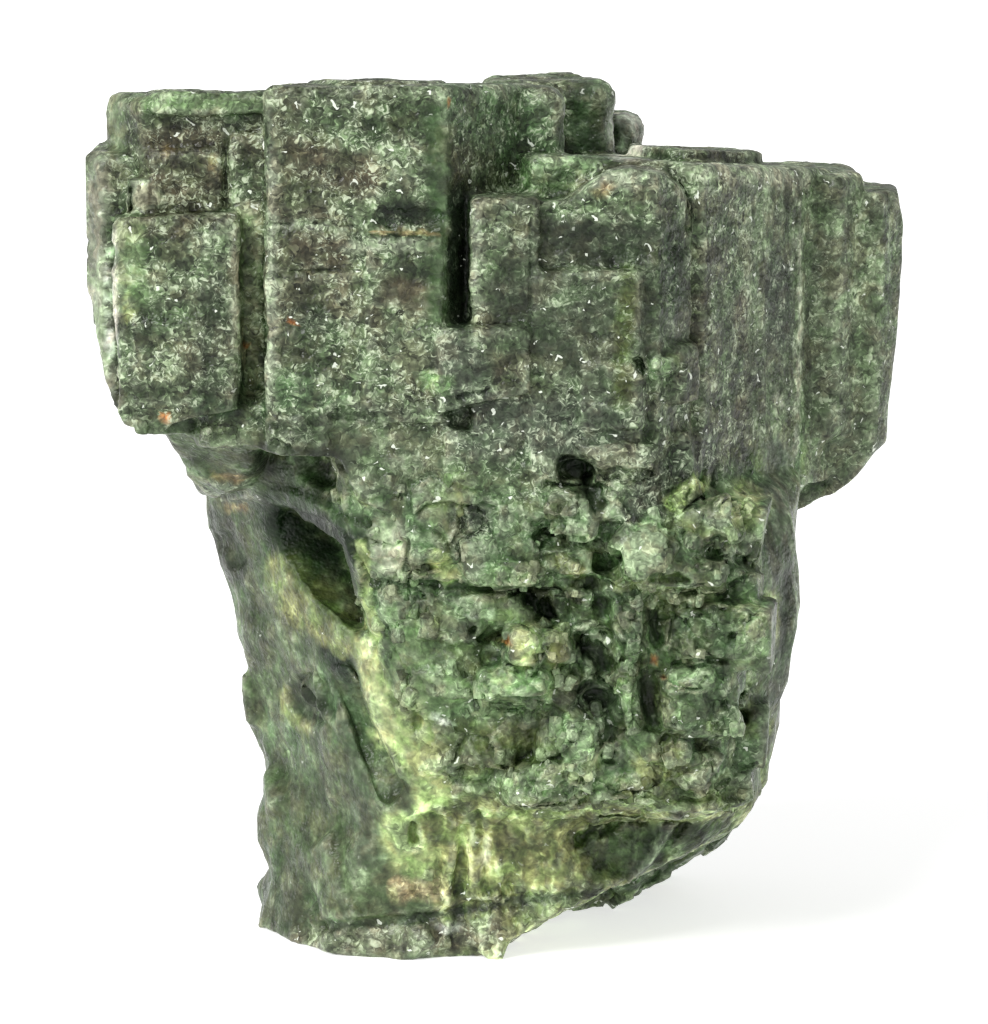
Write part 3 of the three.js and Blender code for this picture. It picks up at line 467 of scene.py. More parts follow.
ripples = RIPPLE_DEPTH * waves(points, RIPPLE_SIZE, shift=50)
height += (0.3 * coarse + left) * (SWELL_DEPTH * waves(points, SWELL_SIZE, shift=40) + ripples)
fluting = FLUTE_DEPTH * low + RIGHT_FLUTES * smooth + LEFT_FLUTES * left
height += fluting * waves(points * FLUTE_STRETCH, FLUTE_SIZE, shift=70)
points += facing * height[:, None]

# The blocks and the marks, with ragged edges. They go forwards or back, and at the left along the way
# that the side faces.
BLOCK_EDGE, BLOCK_RAGGED, BLOCK_UNEVEN, BLOCK_GRAIN = (1.1, 0.86), 0.12, 0.15, 0.07
MARK_EDGE, MARK_RAGGED = (0.56, 0.24), 0.3
FINE_RAGS, WIDE_RAGS, WIDE_RAGGED = 0.25, 0.7, 1.4
CALMER_LEFT = 0.8

places, away = photographed(points)
seen = in_view(places, away, facing)
ragged = waves(points, FINE_RAGS, shift=60) + WIDE_RAGGED * waves(points, WIDE_RAGS, shift=65)
ragged *= 1 - CALMER_LEFT * left
stand = np.zeros(len(points))
for at, across, down, turn, rise in BLOCKS.values():
    top = step(*BLOCK_EDGE, from_block(places, at, across, down, turn) + BLOCK_RAGGED * ragged) * seen
    stand += top * (rise * (1 + BLOCK_UNEVEN * ragged) + BLOCK_GRAIN * grains)
for wide, deep, *line in MARKS.values():
    stand -= deep * strip(places, line, wide, MARK_EDGE, MARK_RAGGED * wide * ragged) * seen
way = np.where(left[:, None] > 0.5, broad, (0, -1, 0))
points += way * stand[:, None]

# The skin is thinned to its triangles. It stays in the solid's box, and the foot stays flat.
box_low, box_high = [np.array(corner) / MM for corner in cad_box]
crystal.data.vertices.foreach_set("co", np.clip(points, box_low, box_high).astype(np.float32).ravel())
crystal.data.update()
crystal.data.calc_loop_triangles()
reshape(crystal, "DECIMATE", ratio=MOST_TRIANGLES / len(crystal.data.loop_triangles))
points = np.clip(read(crystal.data.vertices, "co", 3).astype(float), box_low, box_high)
crystal.data.vertices.foreach_set("co", points.astype(np.float32).ravel())
crystal.data.shade_smooth()

# The stone's colours between the flecks, and the darks that paint shade in: shares of red, green and blue
# light
TINTS = {
    "black": (0.006, 0.012, 0.006),
    "deep green": (0.03, 0.056, 0.02),
    "olive": (0.06, 0.085, 0.025),
    "umber": (0.08, 0.078, 0.046),
    "grey green": (0.105, 0.137, 0.076),
    "slate": (0.065, 0.082, 0.055),
    "mist": (0.17, 0.205, 0.138),
    "haze": (0.28, 0.32, 0.22),
    "leaf": (0.09, 0.145, 0.068),
    "moss": (0.15, 0.225, 0.1),
    "jade": (0.19, 0.31, 0.13),
    "pale jade": (0.31, 0.43, 0.23),
    "straw": (0.2, 0.24, 0.092),
    "light straw": (0.32, 0.4, 0.165),
    "cream": (0.42, 0.47, 0.32),
    "lemon": (0.45, 0.55, 0.22),
    "tan": (0.3, 0.25, 0.12),
    "glow": (0.4, 0.465, 0.215),
    "clay": (0.13, 0.135, 0.088),
    "pale clay": (0.42, 0.42, 0.29),
    "shade": (0.05, 0.066, 0.038),
    "grey leaf": (0.069, 0.093, 0.046),
    "pine": (0.055, 0.09, 0.043),
    "fern": (0.085, 0.108, 0.047),
    "dusk": (0.027, 0.036, 0.021),
    "pale slate": (0.215, 0.235, 0.17),
    "pale tan": (0.42, 0.37, 0.2),
    "rust": (0.45, 0.16, 0.04),
    "white": (0.8, 0.85, 0.72),
}

# How strongly the painted shade of hollows and creases darkens red, green and blue, so that it turns
# greener
PAINTED_SHADE_BY_COLOUR = (1.15, 0.85, 1.25)

# Where the photograph shows them: the tint, the width of the patch, how calm it is (1 has no flecks),
# and the points of its line. Later ones lie over earlier ones. Some are painted shade in pits, gaps,
# hollows and recesses, and some are painted highlights on edges that face the lamp.
PATCHES = {
    "left top's corner": ("grey green", 0.5, 0.9, (117, 105), (117, 150)),
    "left top's lip": ("moss", 0.42, 0.3, (140, 101), (250, 101)),
    "left top's face": ("umber", 1.5, 0, (172, 150), (172, 185), (200, 185), (200, 150)),
    "face's stain": ("tan", 0.22, 0.3, (170, 150)),
    "slit's stain": ("tan", 0.14, 0.3, (214, 150), (214, 165)),
    "far left slab": ("pale slate", 0.5, 1, (97, 165), (96, 330), (108, 400)),
    "wing's upper face": ("grey green", 0.5, 0.2, (122, 165), (122, 205)),
    "wing's pale block": ("cream", 0.3, 0.6, (141, 188), (141, 206)),
    "second pale block": ("haze", 0.24, 0.5, (157, 190), (157, 205)),
    "wing's left edge": ("white", 0.26, 0.95, (112, 235), (112, 350)),
    "wing's green corner": ("moss", 0.7, 0.5, (130, 232), (130, 300)),
    "wing's dark side": ("shade", 0.7, 0.2, (215, 290), (215, 400)),
    "wing's yellow specks": ("lemon", 0.14, 0.5, (125, 298), (128, 316)),
    # Painted highlight on the pillar's lit left edge
    "pillar's edge": ("haze", 0.1, 0.5, (231, 150), (231, 205)),
    "channel": ("pale clay", 0.6, 0.4, (248, 215), (248, 345)),
    "channel's low end": ("pale clay", 0.4, 0.7, (253, 360), (253, 400)),
    "channel's stain": ("tan", 0.2, 0.5, (250, 380)),
    "left ledge": ("pine", 0.5, 0.3, (200, 409), (262, 409)),
    "left block": ("shade", 0.85, 0.3, (275, 433), (318, 433)),
    "left white chip": ("cream", 0.2, 0.3, (207, 432)),
    # Painted highlight along the column's left edge, which faces the lamp
    "column's left edge": ("haze", 0.24, 0.2, (271, 150), (270, 400)),
    "column's brown patch": ("umber", 0.9, 0.1, (310, 165), (360, 175)),
    "column's brown step": ("umber", 0.7, 0.1, (285, 247), (335, 247)),
    "column's pale step": ("haze", 0.12, 0, (268, 226), (325, 224)),
    # Painted shade in the pit over the plate
    "plate's pit": ("black", 0.5, 0.2, (388, 213), (430, 214)),
    "plate's top": ("haze", 0.26, 0, (345, 245), (435, 246)),
    "plate's brown patch": ("umber", 0.8, 0.6, (396, 290), (425, 300)),
    "column's dark spot": ("shade", 0.6, 0.2, (305, 316), (325, 322)),
    "column's low green": ("leaf", 0.8, 0.1, (285, 392), (330, 392)),
    # Painted shade in the notch
    "notch": ("shade", 0.4, 0.4, (335, 416), (372, 416)),
    "column's green side": ("deep green", 0.6, 0.95, (439, 110), (440, 310)),
    "column's turned face": ("leaf", 1.6, 0.1, (475, 100), (520, 130)),
    # Painted shade in the crevice between the column and the front
    "crevice": ("black", 0.5, 0.5, (459, 190), (459, 322)),
    "column behind": ("pine", 1.3, 0.8, (585, 85), (585, 140)),
    # Painted light: the column behind stands in the front column's shadow and is painted white as if lit
    "pale column behind": ("white", 0.9, 1, (627, 118), (627, 140)),
    "green patch": ("pale jade", 0.75, 0.2, (537, 175), (580, 172)),
    "green patch's heart": ("deep green", 0.3, 0.3, (548, 176), (570, 176)),
    "arch's tan top": ("haze", 0.4, 0.2, (585, 185), (655, 178)),
    "arch's stain": ("tan", 0.2, 0.2, (598, 192), (612, 186)),
    # Painted shade under the brow of the arch
    "arch's dark band": ("dusk", 1, 0.6, (548, 236), (600, 244), (665, 246)),
    # Painted highlight along the front's left edge, which faces the lamp
    "front's left edge": ("haze", 0.24, 0.1, (476, 200), (476, 300)),
    "front's left": ("grey green", 0.8, 0.1, (508, 215), (508, 310)),
    "under the front": ("slate", 1.4, 0.3, (455, 365), (480, 430), (600, 425)),
    "front's middle": ("shade", 2.4, 0.5, (540, 300), (600, 340)),
    "front's right": ("shade", 1.1, 0.6, (665, 260), (660, 340)),
    "front's dark right": ("deep green", 0.6, 0.2, (672, 230), (668, 300)),
    "front's green stripe": ("olive", 0.44, 0.4, (628, 275), (622, 400)),
    "right prism's top": ("cream", 0.4, 0.2, (700, 170), (800, 178)),
    "right prism's side": ("slate", 0.6, 0.3, (778, 270), (780, 340)),
    "right prism's line": ("haze", 0.1, 0.4, (798, 200), (800, 330), (796, 450)),
    "right prism's chip": ("cream", 0.14, 0.4, (776, 396), (783, 405)),
    "moss lump": ("jade", 0.4, 0.4, (428, 380), (440, 385)),
    "nib": ("pale jade", 0.36, 0.3, (655, 370), (672, 362)),
    "cream ledge": ("shade", 0.24, 0.2, (376, 409), (400, 411)),
    "under the column": ("grey green", 1.5, 0.5, (345, 450), (420, 470)),
    "cream block": ("cream", 0.8, 0.9, (385, 534), (387, 556)),
    "leaf block": ("leaf", 0.6, 0.6, (415, 510), (425, 555)),
    "yellow dab": ("lemon", 0.44, 0.6, (440, 558), (446, 574)),
    # Painted shade in the round recess
    "round recess": ("slate", 0.8, 0, (477, 523)),
    "recess's rim": ("mist", 0.16, 0.2, (452, 510), (451, 540), (462, 556)),
    "tile": ("grey leaf", 0.5, 0.5, (555, 503), (570, 503)),
    "brow": ("moss", 0.5, 0.3, (500, 572), (540, 574)),
    "tan spot": ("straw", 0.36, 0.2, (563, 562), (578, 574)),
    "grey face": ("slate", 1.1, 0, (695, 462), (645, 515)),
    "yellow crystals": ("lemon", 0.4, 0.2, (675, 503), (700, 482)),
    "yellow block": ("glow", 0.66, 0.6, (743, 495), (743, 515)),
    "chips' green": ("leaf", 0.8, 0.4, (680, 545), (740, 570)),
    "pale lump": ("pale jade", 0.74, 0.7, (629, 556), (652, 536)),
    "pale lump's foot": ("moss", 0.4, 0.5, (618, 576), (640, 570)),
    "right band": ("slate", 0.6, 1, (776, 450), (780, 590), (774, 740)),
    "green block": ("deep green", 1.2, 0.7, (690, 630), (735, 628)),
    "green block's pale end": ("moss", 0.7, 0.5, (747, 608), (755, 645)),
    "column of crystals": ("pine", 0.56, 0.5, (628, 605), (628, 640)),
    "olive lump": ("straw", 0.5, 0.8, (558, 636), (558, 660)),
    "yellow lump": ("lemon", 0.56, 0.8, (526, 636), (526, 658)),
    "brown hole": ("rust", 0.2, 0.4, (506, 640)),
    "slab": ("jade", 0.62, 0.7, (490, 682), (540, 682)),
    "slab's right end": ("moss", 0.5, 0.5, (567, 674)),
    "under the slab": ("moss", 0.3, 0.5, (495, 706), (545, 708)),
    "second green block": ("pale jade", 0.56, 0.5, (676, 682), (706, 680)),
    "jade chip": ("moss", 0.5, 0.5, (672, 712), (682, 712)),
    "olive dip": ("deep green", 0.5, 0.5, (706, 710), (722, 714)),
    "pale chips": ("pale jade", 0.28, 0.4, (680, 600), (697, 598)),
    "green lump": ("moss", 0.85, 0.4, (512, 786), (580, 782)),
    "green lump's top": ("pale jade", 0.75, 0.4, (574, 730), (578, 755)),
    "bright chip": ("pale jade", 0.24, 0.4, (566, 772), (570, 780)),
    # Painted shade in the striated hollow
    "striated hollow": ("pine", 0.6, 0.8, (606, 712), (612, 764)),
    "pale rib": ("moss", 0.36, 0.5, (625, 690), (638, 725)),
    # Painted shade under the ledge's overhang, low at the front
    "low dark band": ("deep green", 1.3, 1, (600, 852), (730, 848)),
    "oblique ridge": ("slate", 0.32, 1, (675, 816), (630, 886)),
    "straw front": ("straw", 1.3, 0.8, (480, 862), (560, 862)),
    "flutes": ("straw", 1.4, 0.8, (420, 842), (500, 838)),
    "upper flutes": ("olive", 1.1, 0.7, (450, 742), (535, 745)),
    "beside the ridge": ("moss", 1.1, 0.85, (410, 665), (440, 690)),
    "low beside the ridge": ("light straw", 1.1, 0.85, (408, 728), (424, 792)),
    "under the crevice": ("light straw", 0.8, 0.85, (398, 825), (418, 862)),
    "bright ridge": ("glow", 0.56, 1, (366, 648), (376, 690), (385, 738)),
    "tan stain": ("pale tan", 0.5, 0.4, (400, 890), (440, 888)),
    "foot": ("clay", 0.7, 0.3, (300, 942), (490, 934)),
    "foot's lobe": ("shade", 0.9, 0.9, (282, 905), (290, 915)),
    "foot's seam": ("shade", 0.2, 0.6, (330, 926), (402, 921), (489, 905), (600, 893)),
    "green low left": ("grey leaf", 1.4, 1, (300, 815), (322, 862)),
    "olive stripe": ("shade", 0.56, 1, (356, 760), (368, 860)),
    # Painted shade in the left hollows: black under their tops, green within, paler on the low slopes
    "hollow's low slope": ("straw", 0.7, 0.9, (280, 575), (310, 610), (345, 638)),
    "hollow": ("deep green", 1.2, 1, (296, 540), (328, 585)),
    "hollow's low corner": ("fern", 0.8, 1, (330, 590), (350, 622)),
    "hollow's left corner": ("deep green", 0.8, 1, (270, 508), (280, 545)),
    "hollow's top": ("black", 1.3, 1, (290, 514), (322, 526), (346, 548)),
    "second hollow": ("pine", 0.62, 1, (334, 665), (354, 735)),
    "second hollow's top": ("black", 0.5, 1, (330, 650), (345, 668)),
    "second hollow's end": ("shade", 0.45, 1, (398, 785), (408, 805)),
    "hollow's low edge": ("olive", 0.5, 1, (292, 562), (322, 598), (346, 620)),
    # Painted shade in the holes, gaps and hollows of the crumbled front
    "deep hole": ("black", 0.36, 0.9, (530, 598), (540, 606), (548, 614)),
    "curved hollow": ("black", 0.4, 0.9, (582, 645), (596, 655), (604, 664)),
    "olive lump's hollow": ("dusk", 0.5, 0.9, (586, 692), (608, 700)),
    "column's right gap": ("dusk", 0.26, 0.9, (651, 612), (655, 642)),
    "rib's right hollow": ("dusk", 0.34, 0.9, (646, 684), (652, 722)),
    "pale lump's gap": ("dusk", 0.36, 0.9, (586, 486), (600, 506)),
    "crust's pocket": ("black", 0.46, 0.9, (566, 464), (584, 472)),
    "slab's shadow": ("dusk", 0.36, 0.7, (560, 700), (575, 706)),
    "round pit's rim": ("straw", 0.36, 0.9, (286, 694), (290, 716), (306, 727)),
    # Painted shade in the round pit
    "round pit": ("dusk", 0.78, 1, (304, 694), (311, 708)),
    "left band": ("mist", 0.5, 0.2, (212, 490), (250, 492)),
    # Painted shade under the ridge band
    "ridge band": ("deep green", 0.36, 0.9, (275, 496), (330, 508), (356, 526)),
    # Painted shade in the left dent
    "left dent": ("dusk", 1, 1, (216, 530), (228, 565)),
    "left yellow": ("straw", 0.4, 0.8, (276, 562), (284, 572)),
    "lower band": ("straw", 0.36, 0.6, (285, 608), (345, 650)),
    "upper ridge": ("light straw", 0.3, 0.8, (361, 545), (368, 600), (374, 636)),
    # Painted shade in the recess under the crown
    "recess": ("dusk", 0.75, 0.9, (258, 461), (335, 463)),
    "recess's low side": ("deep green", 0.4, 0.9, (310, 478), (340, 486)),
    "recess's lump": ("mist", 0.2, 0.9, (335, 473)),
    "column's white chip": ("white", 0.1, 0.2, (400, 118)),
    "hole's white chips": ("white", 0.14, 0.4, (469, 617), (488, 612)),
    "ridge's white chips": ("white", 0.12, 0.4, (434, 717), (452, 723)),
    "flutes' pale bar": ("cream", 0.2, 0.9, (487, 842), (487, 858)),
    "foot's fleck": ("white", 0.14, 0.5, (444, 930), (456, 928)),
    "chip's rust": ("rust", 0.1, 0.4, (403, 111)),
    "top's rust": ("rust", 0.09, 0.4, (449, 101), (455, 104)),
    "wing's rust": ("rust", 0.1, 0.5, (162, 418)),
    "channel's rust": ("rust", 0.12, 0.5, (245, 346)),
    "column's rust": ("rust", 0.07, 0.5, (293, 322)),
    "plate's rust line": ("tan", 0.08, 0.5, (363, 231), (395, 232), (445, 234)),
    "block's rust": ("rust", 0.12, 0.5, (655, 660)),
    "second block's rust": ("rust", 0.11, 0.5, (665, 678)),
    "low edge's rust": ("rust", 0.09, 0.5, (732, 794)),
    "pink flecks": ("tan", 0.16, 0.5, (212, 476), (238, 480)),
    "low pink flecks": ("tan", 0.14, 0.5, (228, 507), (246, 508)),
}

edges = read(crystal.data.edges, "vertices", 2, np.int32)
facing = outwards(crystal.data, edges)
root, left, low, crust, smooth = regions(points)
crown = 1 - root
root_front = root * (1 - left)
places, away = photographed(points)
seen = in_view(places, away, facing)


def turned(ray, facing):
    """The ray turned so that its third number runs along each facing direction."""
    helper = np.where(np.abs(facing[:, 2:]) < 0.9, (0, 0, 1), (1, 0, 0))
    side = np.cross(facing, helper)
    side /= np.linalg.norm(side, axis=1)[:, None]
    other = np.cross(facing, side)
    return ray[0] * side + ray[1] * other + ray[2] * facing


def openness(mesh, points, facing):
    """How much of the open air around it each point of the skin looks out on, from 0 to 1."""
    RAYS, SPREAD, REACH, LIFT = 14, 0.9, 2.2, 0.03
    tree = bvhtree.BVHTree.FromPolygons(points.tolist(), [p.vertices[:] for p in mesh.polygons])
    turns = np.arange(RAYS) * math.pi * (3 - math.sqrt(5))
    rise = 1 - (np.arange(RAYS) + 0.5) / RAYS * SPREAD
    flat = np.sqrt(1 - rise**2)
    free = np.zeros(len(points))
    for ray in np.stack([flat * np.cos(turns), flat * np.sin(turns), rise], axis=1):
        ways = turned(ray, facing)
        starts = points + LIFT * facing + LIFT * ways
        for i, (start, way) in enumerate(zip(starts.tolist(), ways.tolist())):
            free[i] += tree.ray_cast(start, way, REACH)[0] is None
    return free / RAYS


def painted(tone, calm, tint, share, calmness):
    """The tone and the calm of the skin after a share of a tint is laid on."""
    painted_tone = tone + share[:, None] * (np.array(TINTS[tint]) - tone)
    return painted_tone, calm + share * (calmness - calm)


def laid_on(mesh, tone, calm, striped):
    """Lays on a mesh what the finish reads at each point: its tone, how calm and how striped."""
    for name, kind, field, values in (
        ("tone", "FLOAT_COLOR", "color", np.c_[tone, np.ones(len(tone))]),
        ("calm", "FLOAT", "value", calm),
        ("striped", "FLOAT", "value", striped),
    ):
        attribute = mesh.attributes.new(name, kind, "POINT")
        attribute.data.foreach_set(field, values.astype(np.float32).ravel())


# How the skin is painted: broad clouds of tints, each with its size and a number that shifts it, then
# the patches with blurred edges, a painted highlight on proud edges, and painted shade in hollows and
# creases
CLOUDS = ((1.6, 80), (1.1, 90), (0.8, 100), (1.3, 110))
BLUR_SIZE, BLUR = 0.35, 0.08
PATCH_EDGE, PATCH_SHARE = (0.62, 0.3), 0.9
BULGE_ROUNDS, BULGE = 3, 0.02
WIDE_ROUNDS, WIDE_BULGE = 14, 0.06
OPEN_AIR = 0.75

free = openness(crystal.data, points, facing)
bulge = ((points - relaxed(points, edges, BULGE_ROUNDS)) * facing).sum(1) / BULGE
wide_bulge = ((points - relaxed(points, edges, WIDE_ROUNDS)) * facing).sum(1) / WIDE_BULGE
tone = np.tile(TINTS["grey green"], (len(points), 1))
calm = np.zeros(len(points))
clouds = [waves(points, size, 2, shift) for size, shift in CLOUDS]
for tint, share, calmness in (
    ("umber", crown * step(0.1, 0.4, clouds[0]) * 0.7, 0.1),
    ("deep green", crown * step(0.15, 0.45, clouds[1]) * 0.6, 0.2),
    ("grey green", crown * smooth, 0.4),
    ("leaf", root_front * 0.8, 0.6),
    ("moss", root_front * step(0.05, 0.35, clouds[1]) * 0.8, 0.7),
    ("straw", root_front * step(0.2, 0.4, clouds[3]) * 0.6, 0.7),
    ("olive", root_front * step(0.1, 0.3, clouds[2]) * 0.6, 0.6),
    ("grey leaf", left, 0.85),
    ("leaf", left * step(0.1, 0.4, clouds[1]) * 0.6, 0.9),
    ("straw", low * 0.8, 0.5),
):
    tone, calm = painted(tone, calm, tint, share, calmness)
blur = BLUR * waves(points, BLUR_SIZE, shift=120)
for tint, wide, calmness, *line in PATCHES.values():
    share = strip(places, line, wide, PATCH_EDGE, blur) * seen * PATCH_SHARE
    tone, calm = painted(tone, calm, tint, share, calmness)
# Painted highlight: proud edges and ridges made paler with haze, but not where the tone is nearly black
edge_highlight = step(0.3, 1.3, bulge + 0.5 * wide_bulge) * step(0.03, 0.12, tone[:, 1])
tone, calm = painted(tone, calm, "haze", edge_highlight * 0.4, 0.3)
# Painted shade: darker where the skin looks out on little open air and in creases, less on the root and
# where calm
hidden = 1 - step(0, OPEN_AIR, free)
painted_shade = (1 - 0.3 * root - 0.4 * calm) * hidden + 0.35 * step(0.2, 1.2, -bulge)
tone *= np.exp(-painted_shade[:, None] * np.array(PAINTED_SHADE_BY_COLOUR))
striped = np.maximum.reduce([1.2 * low, 0.35 * root * (1 - 0.6 * left), 0.6 * smooth, 0.1 * crown])
laid_on(crystal.data, tone, calm, striped)


class Wire:
    """One socket of a finish's nodes. Sums of wires are written as plain expressions, and node() adds
    any other node."""

    def __init__(self, socket):
        self.socket = socket

    def node(self, kind, settings=None, **sockets):
        """Adds a node: its type, its settings, and the value or the wire of each socket, which goes by
        its name, or by input_ and its number where names repeat."""
        tree = self.socket.id_data
        made = tree.nodes.new(kind)
        for name, value in (settings or {}).items():
            setattr(made, name, value)
        for name, value in sockets.items():
            if name.startswith("input_"):
                socket = made.inputs[int(name.removeprefix("input_"))]
            else:
                socket = next(s for s in made.inputs if s.name.replace(" ", "_") == name and s.enabled)
            if isinstance(value, Wire):
                tree.links.new(value.socket, socket)
            else:
                socket.default_value = value
        return made

    def maths(self, operation, *values):
        given = {f"input_{i}": value for i, value in enumerate(values)}
        return Wire(self.node("ShaderNodeMath", {"operation": operation}, **given).outputs[0])

    def __add__(self, other):
        return self.maths("ADD", self, other)

    __radd__ = __add__

    def __sub__(self, other):
        return self.maths("SUBTRACT", self, other)

    def __rsub__(self, other):
        return self.maths("SUBTRACT", other, self)

    def __mul__(self, other):
        return self.maths("MULTIPLY", self, other)

    __rmul__ = __mul__

    def exp(self):
        return self.maths("EXPONENT", self)

    def size(self):
        return self.maths("ABSOLUTE", self)

    def step(self, low, high):
        """0 at low, 1 at high, and a smooth change between."""
        settings = {"interpolation_type": "SMOOTHSTEP"}
        made = self.node("ShaderNodeMapRange", settings, Value=self, From_Min=low, From_Max=high)
        return Wire(made.outputs["Result"])

    def noise(self, per_mm, detail, roughness=0.6, output="Fac"):
        """Noise at this wire's place, with so many features to a millimetre, from about -1 to 1."""
        sockets = {"Vector": self, "Scale": per_mm, "Detail": detail, "Roughness": roughness}
        return Wire(self.node("ShaderNodeTexNoise", {"normalize": False}, **sockets).outputs[output])

    def vector(self, operation, other, output=0):
        """This vector and another, by one of the vector operations."""
        made = self.node("ShaderNodeVectorMath", {"operation": operation}, input_0=self, input_1=other)
        return Wire(made.outputs[output])

    def part(self, index):
        """One of the three numbers of a colour."""
        return Wire(self.node("ShaderNodeSeparateColor", input_0=self).outputs[index])

    def chips(self, per_mm):
        """Chips with leaning faces, so many to a millimetre: how bright each one's face is, from about
        -1 to 1, with painted shading across it by its lean, its thin curved lip, painted as a highlight
        on the one side that its lean lights, and a random number from 0 to 1."""
        LEAST_LIP, MORE_LIP, LIP_THINNESS, FACE_GAIN = 0.22, 0.3, 11, 2.2
        made = self.node("ShaderNodeTexVoronoi", Vector=self, Scale=per_mm)
        own = Wire(made.outputs["Color"])
        offset = self.vector("SUBTRACT", Wire(made.outputs["Position"]))
        lean = offset.vector("DOT_PRODUCT", own.vector("SUBTRACT", (0.5, 0.5, 0.5)), 1) * per_mm
        from_lip = (Wire(made.outputs["Distance"]) - LEAST_LIP - MORE_LIP * own.part(1)).size()
        lip = (1 - LIP_THINNESS * from_lip).step(0, 1) * lean.step(0, 0.08)
        return FACE_GAIN * lean + own.part(0) - 0.5, lip, own.part(2)

    def moved(self, way, amount):
        """This place, moved along another wire's vector times an amount."""
        places = {"input_0": way, "input_1": (amount,) * 3, "input_2": self}
        return Wire(self.node("ShaderNodeVectorMath", {"operation": "MULTIPLY_ADD"}, **places).outputs[0])

    def mixed(self, other, share):
        """This colour, with a share of another laid over it."""
        colours = {"input_0": share, "input_6": self, "input_7": other}
        return Wire(self.node("ShaderNodeMix", {"data_type": "RGBA"}, **colours).outputs[2])

    def scaled(self, factor):
        """This colour or place, times a factor."""
        made = self.node("ShaderNodeVectorMath", {"operation": "SCALE"}, input_0=self, Scale=factor)
        return Wire(made.outputs[0])


# The finish, one for both pieces. The tone on the skin is the stone between the flecks, with the
# painted shade and highlights laid into it. Over it lie leaning chips of two sizes, with painted shading
# across their faces and pale lips painted as highlights, a thin pale web and fine specks, a few of them
# white as painted glints, crowded in patches and fewer where the skin is calm, then streaks, and browner
# and greener stretches.
PALE_CHIP = (0.5, 0.57, 0.41, 1)
GLINT_WHITE = (0.8, 0.85, 0.74, 1)
BROWNER = (1.1, 0.98, 0.97)
GREENER = (0.92, 1.03, 0.9)
CHIP_STRETCH, STREAK_STRETCH = (0.85, 0.85, 1.3), (1, 1, 0.22)
BEND = 0.12
WEB_THINNESS = 15
RARE, RARE_EDGE = 0.984, 0.003
BUMP, BUMP_HEIGHT = 0.7, 0.02 * MM
ROUGHNESS, UNEVEN_ROUGHNESS, SPECULAR = 0.4, 0.3, 0.22
# How many of each there are to a millimetre
BENDS, CHIPS, SMALL_CHIPS, WEBS = 4, 4.8, 10.5, 4.6
SPOTS, WIDE_SPOTS, SPECKS, SOFT_SPOTS = 2.2, 0.9, 9, 5
STREAKS, FINE_STREAKS, HUES = 2.2, 6, 1.7

finish = bpy.data.materials.new("etched_tourmaline")
finish.use_nodes = True
shader = finish.node_tree.nodes["Principled BSDF"]
start = finish.node_tree.nodes.new("ShaderNodeTexCoord")
spot = Wire(start.outputs["Object"]).scaled(1 / MM)
base = Wire(spot.node("ShaderNodeAttribute", {"attribute_name": "tone"}).outputs["Color"])
still = Wire(spot.node("ShaderNodeAttribute", {"attribute_name": "calm"}).outputs["Fac"])
stripes = Wire(spot.node("ShaderNodeAttribute", {"attribute_name": "striped"}).outputs["Fac"])

bent = spot.moved(spot.noise(BENDS, 1, output="Color"), BEND)
flat = bent.vector("MULTIPLY", CHIP_STRETCH)
tall = bent.vector("MULTIPLY", STREAK_STRETCH)
face, lip, own = flat.chips(CHIPS)
small_face, small_lip, small_own = bent.chips(SMALL_CHIPS)
patch = spot.noise(SPOTS, 2)
cloud = spot.noise(WIDE_SPOTS, 2)
grain = spot.noise(SPECKS, 1)
crowd = (0.6 * patch + 0.4 * cloud).step(-0.3, 0.25)
web = (1 - WEB_THINNESS * flat.noise(WEBS, 2, roughness=0.55).size()).step(0.1, 0.7) * crowd
etched = 0.55 * patch + 0.6 * cloud + 0.75 * face + 0.85 * small_face + 0.5 * grain - 0.2
soft = 0.6 * patch + 0.5 * cloud + 0.15 * face + 0.5 * spot.noise(SOFT_SPOTS, 1) + 0.3 * grain
streaks = 1.1 * tall.noise(STREAKS, 1) + 0.6 * tall.noise(FINE_STREAKS, 1)
change = etched * (1 - still) + soft * still + stripes * streaks
colour = base.scaled(change.exp())
hue = spot.noise(HUES, 3)
colour = colour.mixed(colour.vector("MULTIPLY", BROWNER), hue.step(0.05, 0.4))
colour = colour.mixed(colour.vector("MULTIPLY", GREENER), hue.step(-0.05, -0.4))
colour = colour.mixed(PALE_CHIP, change.step(0.3, 1.8) * 0.35)
faces = (small_face + 0.5 * grain + 0.3 * face).step(0.35, 0.75)
# Pale flecks: the lips painted as highlights, the pale web, and chip faces that the painted shading makes
# bright
pale = (0.55 * lip * crowd + 0.6 * small_lip * crowd + 0.45 * web + 0.7 * faces * crowd).step(0, 1)
pale = pale * (1 - still).step(0.15, 1) * base.part(1).step(-0.01, 0.11)
colour = colour.mixed(PALE_CHIP, pale * 0.85)
# Painted glints: rare white specks on the brightest chip faces
white = (small_own - RARE).step(0, RARE_EDGE) * (small_face + 0.6 * grain).step(0, 0.15)
colour = colour.mixed(GLINT_WHITE, white * (1 - still).step(0, 0.6) * 0.8)
bump = spot.node("ShaderNodeBump", Strength=BUMP, Distance=BUMP_HEIGHT, Height=grain + 0.5 * face)
for wire, name in (
    (colour, "Base Color"),
    (Wire(bump.outputs["Normal"]), "Normal"),
    (ROUGHNESS + UNEVEN_ROUGHNESS * (own - 0.5), "Roughness"),
):
    finish.node_tree.links.new(wire.socket, shader.inputs[name])
shader.inputs["Specular IOR Level"].default_value = SPECULAR

crystal.data.transform(Matrix.Scale(MM, 4))
crystal.data.materials.clear()
crystal.data.materials.append(finish)
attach(crystal, "root")
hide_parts("tourmaline_crystal")

